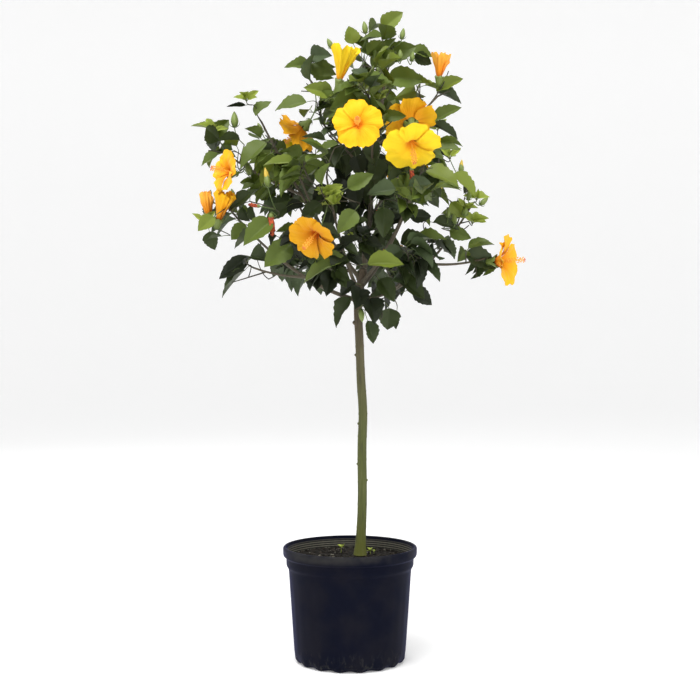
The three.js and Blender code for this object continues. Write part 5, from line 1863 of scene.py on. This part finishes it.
def soil_finish():
    recipe = Recipe("potting-mix", roughness=0.95, specular_ior_level=0.15)
    crumbs = recipe.noise(0.004, 6.0, rough=0.7)
    damp = recipe.noise(0.05, 2.0)
    dark = recipe.mix(damp.between(0.35, 0.65), linear(24, 22, 19), linear(38, 35, 30))
    recipe.feed("Base Color", recipe.mix(crumbs.between(0.5, 0.75), dark, linear(68, 64, 56)))
    recipe.bump(crumbs, 0.003, 1.0)
    return recipe.material


soil = soil_surface().mesh_object("soil-surface", soil_finish())
finished(soil, "soil", "potting-mix")


def chip_shape(length, width, thickness, dice):
    """A split shard of bark: a low eight-cornered block with uneven ends."""
    corners = []
    for z in (-thickness / 2, thickness / 2):
        for x, y in ((-1, -1), (1, -0.8), (1, 0.8), (-1, 1)):
            corners.append((x * length / 2 * dice.between(0.6, 1), y * width / 2 * dice.between(0.5, 1),
                            z * dice.between(0.5, 1.2)))
    faces = [(3, 2, 1, 0), (4, 5, 6, 7), (0, 1, 5, 4), (1, 2, 6, 5), (2, 3, 7, 6), (3, 0, 4, 7)]
    return np.array(corners) * MM, faces


def chip_tree():
    tree = NodeTree("bark chips on the soil", {
        "Shapes": "Collection", "Density": "Float", "Seed": "Int", "Material": "Material"})
    upward = tree.node("ShaderNodeSeparateXYZ", {0: tree.node("GeometryNodeInputNormal")[0]})["Z"]
    top = tree.node("ShaderNodeMath", {0: upward, 1: 0.6}, operation="GREATER_THAN")[0]
    spots = tree.node("GeometryNodeDistributePointsOnFaces", {
        "Mesh": tree.given["Geometry"], "Selection": top, "Density": tree.given["Density"],
        "Seed": tree.given["Seed"]})
    spin = tree.node("FunctionNodeRandomValue", {
        "Min": (-0.5, -0.5, 0.0), "Max": (0.5, 0.5, 6.28), "Seed": tree.given["Seed"]},
        data_type="FLOAT_VECTOR")[0]
    grow = tree.node("FunctionNodeRandomValue", {2: 0.45, 3: 1.25, "Seed": tree.given["Seed"]},
                     data_type="FLOAT")[1]
    chips = tree.node("GeometryNodeInstanceOnPoints", {
        "Points": spots["Points"], "Instance": tree.shapes(), "Pick Instance": True,
        "Rotation": spin, "Scale": grow})[0]
    return tree.finish(chips, smooth=False)


chip_dice = Dice(41)
chip_shapes = make_shapes("chip", [
    chip_shape(chip_dice.between(7, 17), chip_dice.between(3.5, 8), chip_dice.between(1.6, 3.6), chip_dice)
    for _ in range(9)])
CHIP_TREE = chip_tree()
CHIP_TONES = {
    "dark": (linear(31, 28, 24), 12000, 3), "brown": (linear(50, 44, 37), 4200, 8),
    "pale": (linear(112, 108, 96), 700, 14),
}
for tone, (colour, density, seed) in CHIP_TONES.items():
    bare = soil_surface(SOIL_RINGS - 2).mesh_object("chip-ground", soil.data.materials[0])
    chip_finish = grained(f"bark-chip-{tone}", colour, (0.003, 5.0, (1, 1, 1), 0.7), 0.0008, 0.8,
                          roughness=0.85, specular_ior_level=0.2)
    chips = CHIP_TREE.grow(bare, f"bark-chips-{tone}", Shapes=chip_shapes, Density=density, Seed=seed,
                           Material=chip_finish)
    finished(chips, "soil")
discard_shapes(chip_shapes)

# %% [markdown]
# Three weed seedlings have come up beside the stem, bright yellow-green.

# %% Seedlings
SEEDLINGS = [(-19, 34, 15), (42, 12, 12), (50, 30, 8)]  # right, back, height over the soil
seedling_leaves, seedling_stalks = Batch(), Paths()
sprout_dice = Dice(5)
for right, back, tall in SEEDLINGS:
    foot = point(right, back, SOIL_TOP - 4)
    crown = foot + point(0, 0, tall)
    seedling_stalks.add([foot, mix(foot, crown, 0.5) + point(0.6, 0, 0), crown], 0.5)
    for number in range(7):
        shape, faces = leaf_shape(0.3, 0.12, 0.02, number, 0.1)
        axis = aim(number * GOLDEN_ANGLE, sprout_dice.between(8, 62))
        side = unit(np.cross(axis, UP))
        face = np.cross(side, axis)
        length = tall * sprout_dice.between(0.5, 0.95)
        seedling_leaves.add([crown - UP * number * 0.5 + side * (x * length * 0.55) + axis * (y * length)
                             + face * (z * length) for x, y, z in shape], faces)
sprout_finish = leaf_finish("seedling", linear(168, 182, 78))
finished(seedling_leaves.mesh_object("seedling-leaves", sprout_finish), "foliage")
finished(seedling_stalks.grow("seedling-stalks", sprout_finish, 6), "foliage")

# %% [markdown]
# ## Floor and light
# The plant stands on a plain pale floor that sweeps up round it, so that no horizon shows. A large
# soft light above and in front gives the leaves their sheen, as an overcast sky does; a second from
# the right keeps the shadows open, and a third lights the back.

# %% Stage
FLOOR_RADIUS, SWEEP_BEND, SWEEP_TOP, SWEEP_SIDES = 8.0, 3.0, 5.5, 48  # metres
HEART = Vector((0.0, 0.0, 1.0))  # where the lights point, in metres
SKY_STRENGTH = 0.66


def pale_sweep():
    """A floor that turns up into a backdrop, in metres, round all sides."""
    rows = [(0.0, 0.0), (6.0, 0.0), (FLOOR_RADIUS, 0.0)]
    rows += [(FLOOR_RADIUS + SWEEP_BEND * math.sin(a), SWEEP_BEND - SWEEP_BEND * math.cos(a))
             for a in np.linspace(0.2, math.pi / 2, 7)]
    rows += [(FLOOR_RADIUS + SWEEP_BEND, SWEEP_TOP)]
    points = [(0.0, 0.0, 0.0)]
    for radius, height in rows[1:]:
        points += [(radius * math.cos(a), radius * math.sin(a), height)
                   for a in np.linspace(0, math.tau, SWEEP_SIDES, endpoint=False)]
    faces = skin_faces(len(rows) - 1, SWEEP_SIDES, turned=True)[:-SWEEP_SIDES]  # open at the top
    mesh = bpy.data.meshes.new("pale-sweep")
    mesh.from_pydata(points, [], faces)
    mesh.polygons.foreach_set("use_smooth", [True] * len(mesh.polygons))
    return add_object("pale-sweep", mesh)


floor = pale_sweep()
floor_finish = Recipe("pale-floor", base_color=(0.92, 0.92, 0.92, 1), roughness=0.9,
                      emission_color=(1, 1, 1, 1), emission_strength=0.16)
floor.data.materials.append(floor_finish.material)
floor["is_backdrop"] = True


def soft_light(name, place, size, power):
    light = bpy.data.lights.new(name, "AREA")
    light.shape, light.size, light.energy = "DISK", size, power
    made = add_object(name, light)
    made.location = place
    made.rotation_euler = (HEART - Vector(place)).to_track_quat("-Z", "Y").to_euler()


soft_light("sky", (-0.6, -1.6, 4.2), 2.4, 135)
soft_light("fill", (3.0, -2.4, 2.0), 2.4, 30)
soft_light("back", (-1.8, 2.8, 2.8), 2.0, 30)
world = bpy.data.worlds.new("pale-sky")
world.use_nodes = True
background = world.node_tree.nodes["Background"].inputs
background["Color"].default_value = (1, 1, 1, 1)
background["Strength"].default_value = SKY_STRENGTH
bpy.context.scene.world = world
bpy.context.scene.view_settings.view_transform = "Standard"
print("stage and three soft lights")

# %% [markdown]
# ## Sizes, and the end
# The construction model's box and the dressed plant's box are both printed, so that they can be
# compared. The dressed plant must stay in the construction model's box, apart from a little.

# %% Sizes
visual_box = [list(corner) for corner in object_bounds()]
for name, box in (("construction", cad_box), ("dressed", visual_box)):
    print(name, [round(value, 4) for corner in box for value in corner])
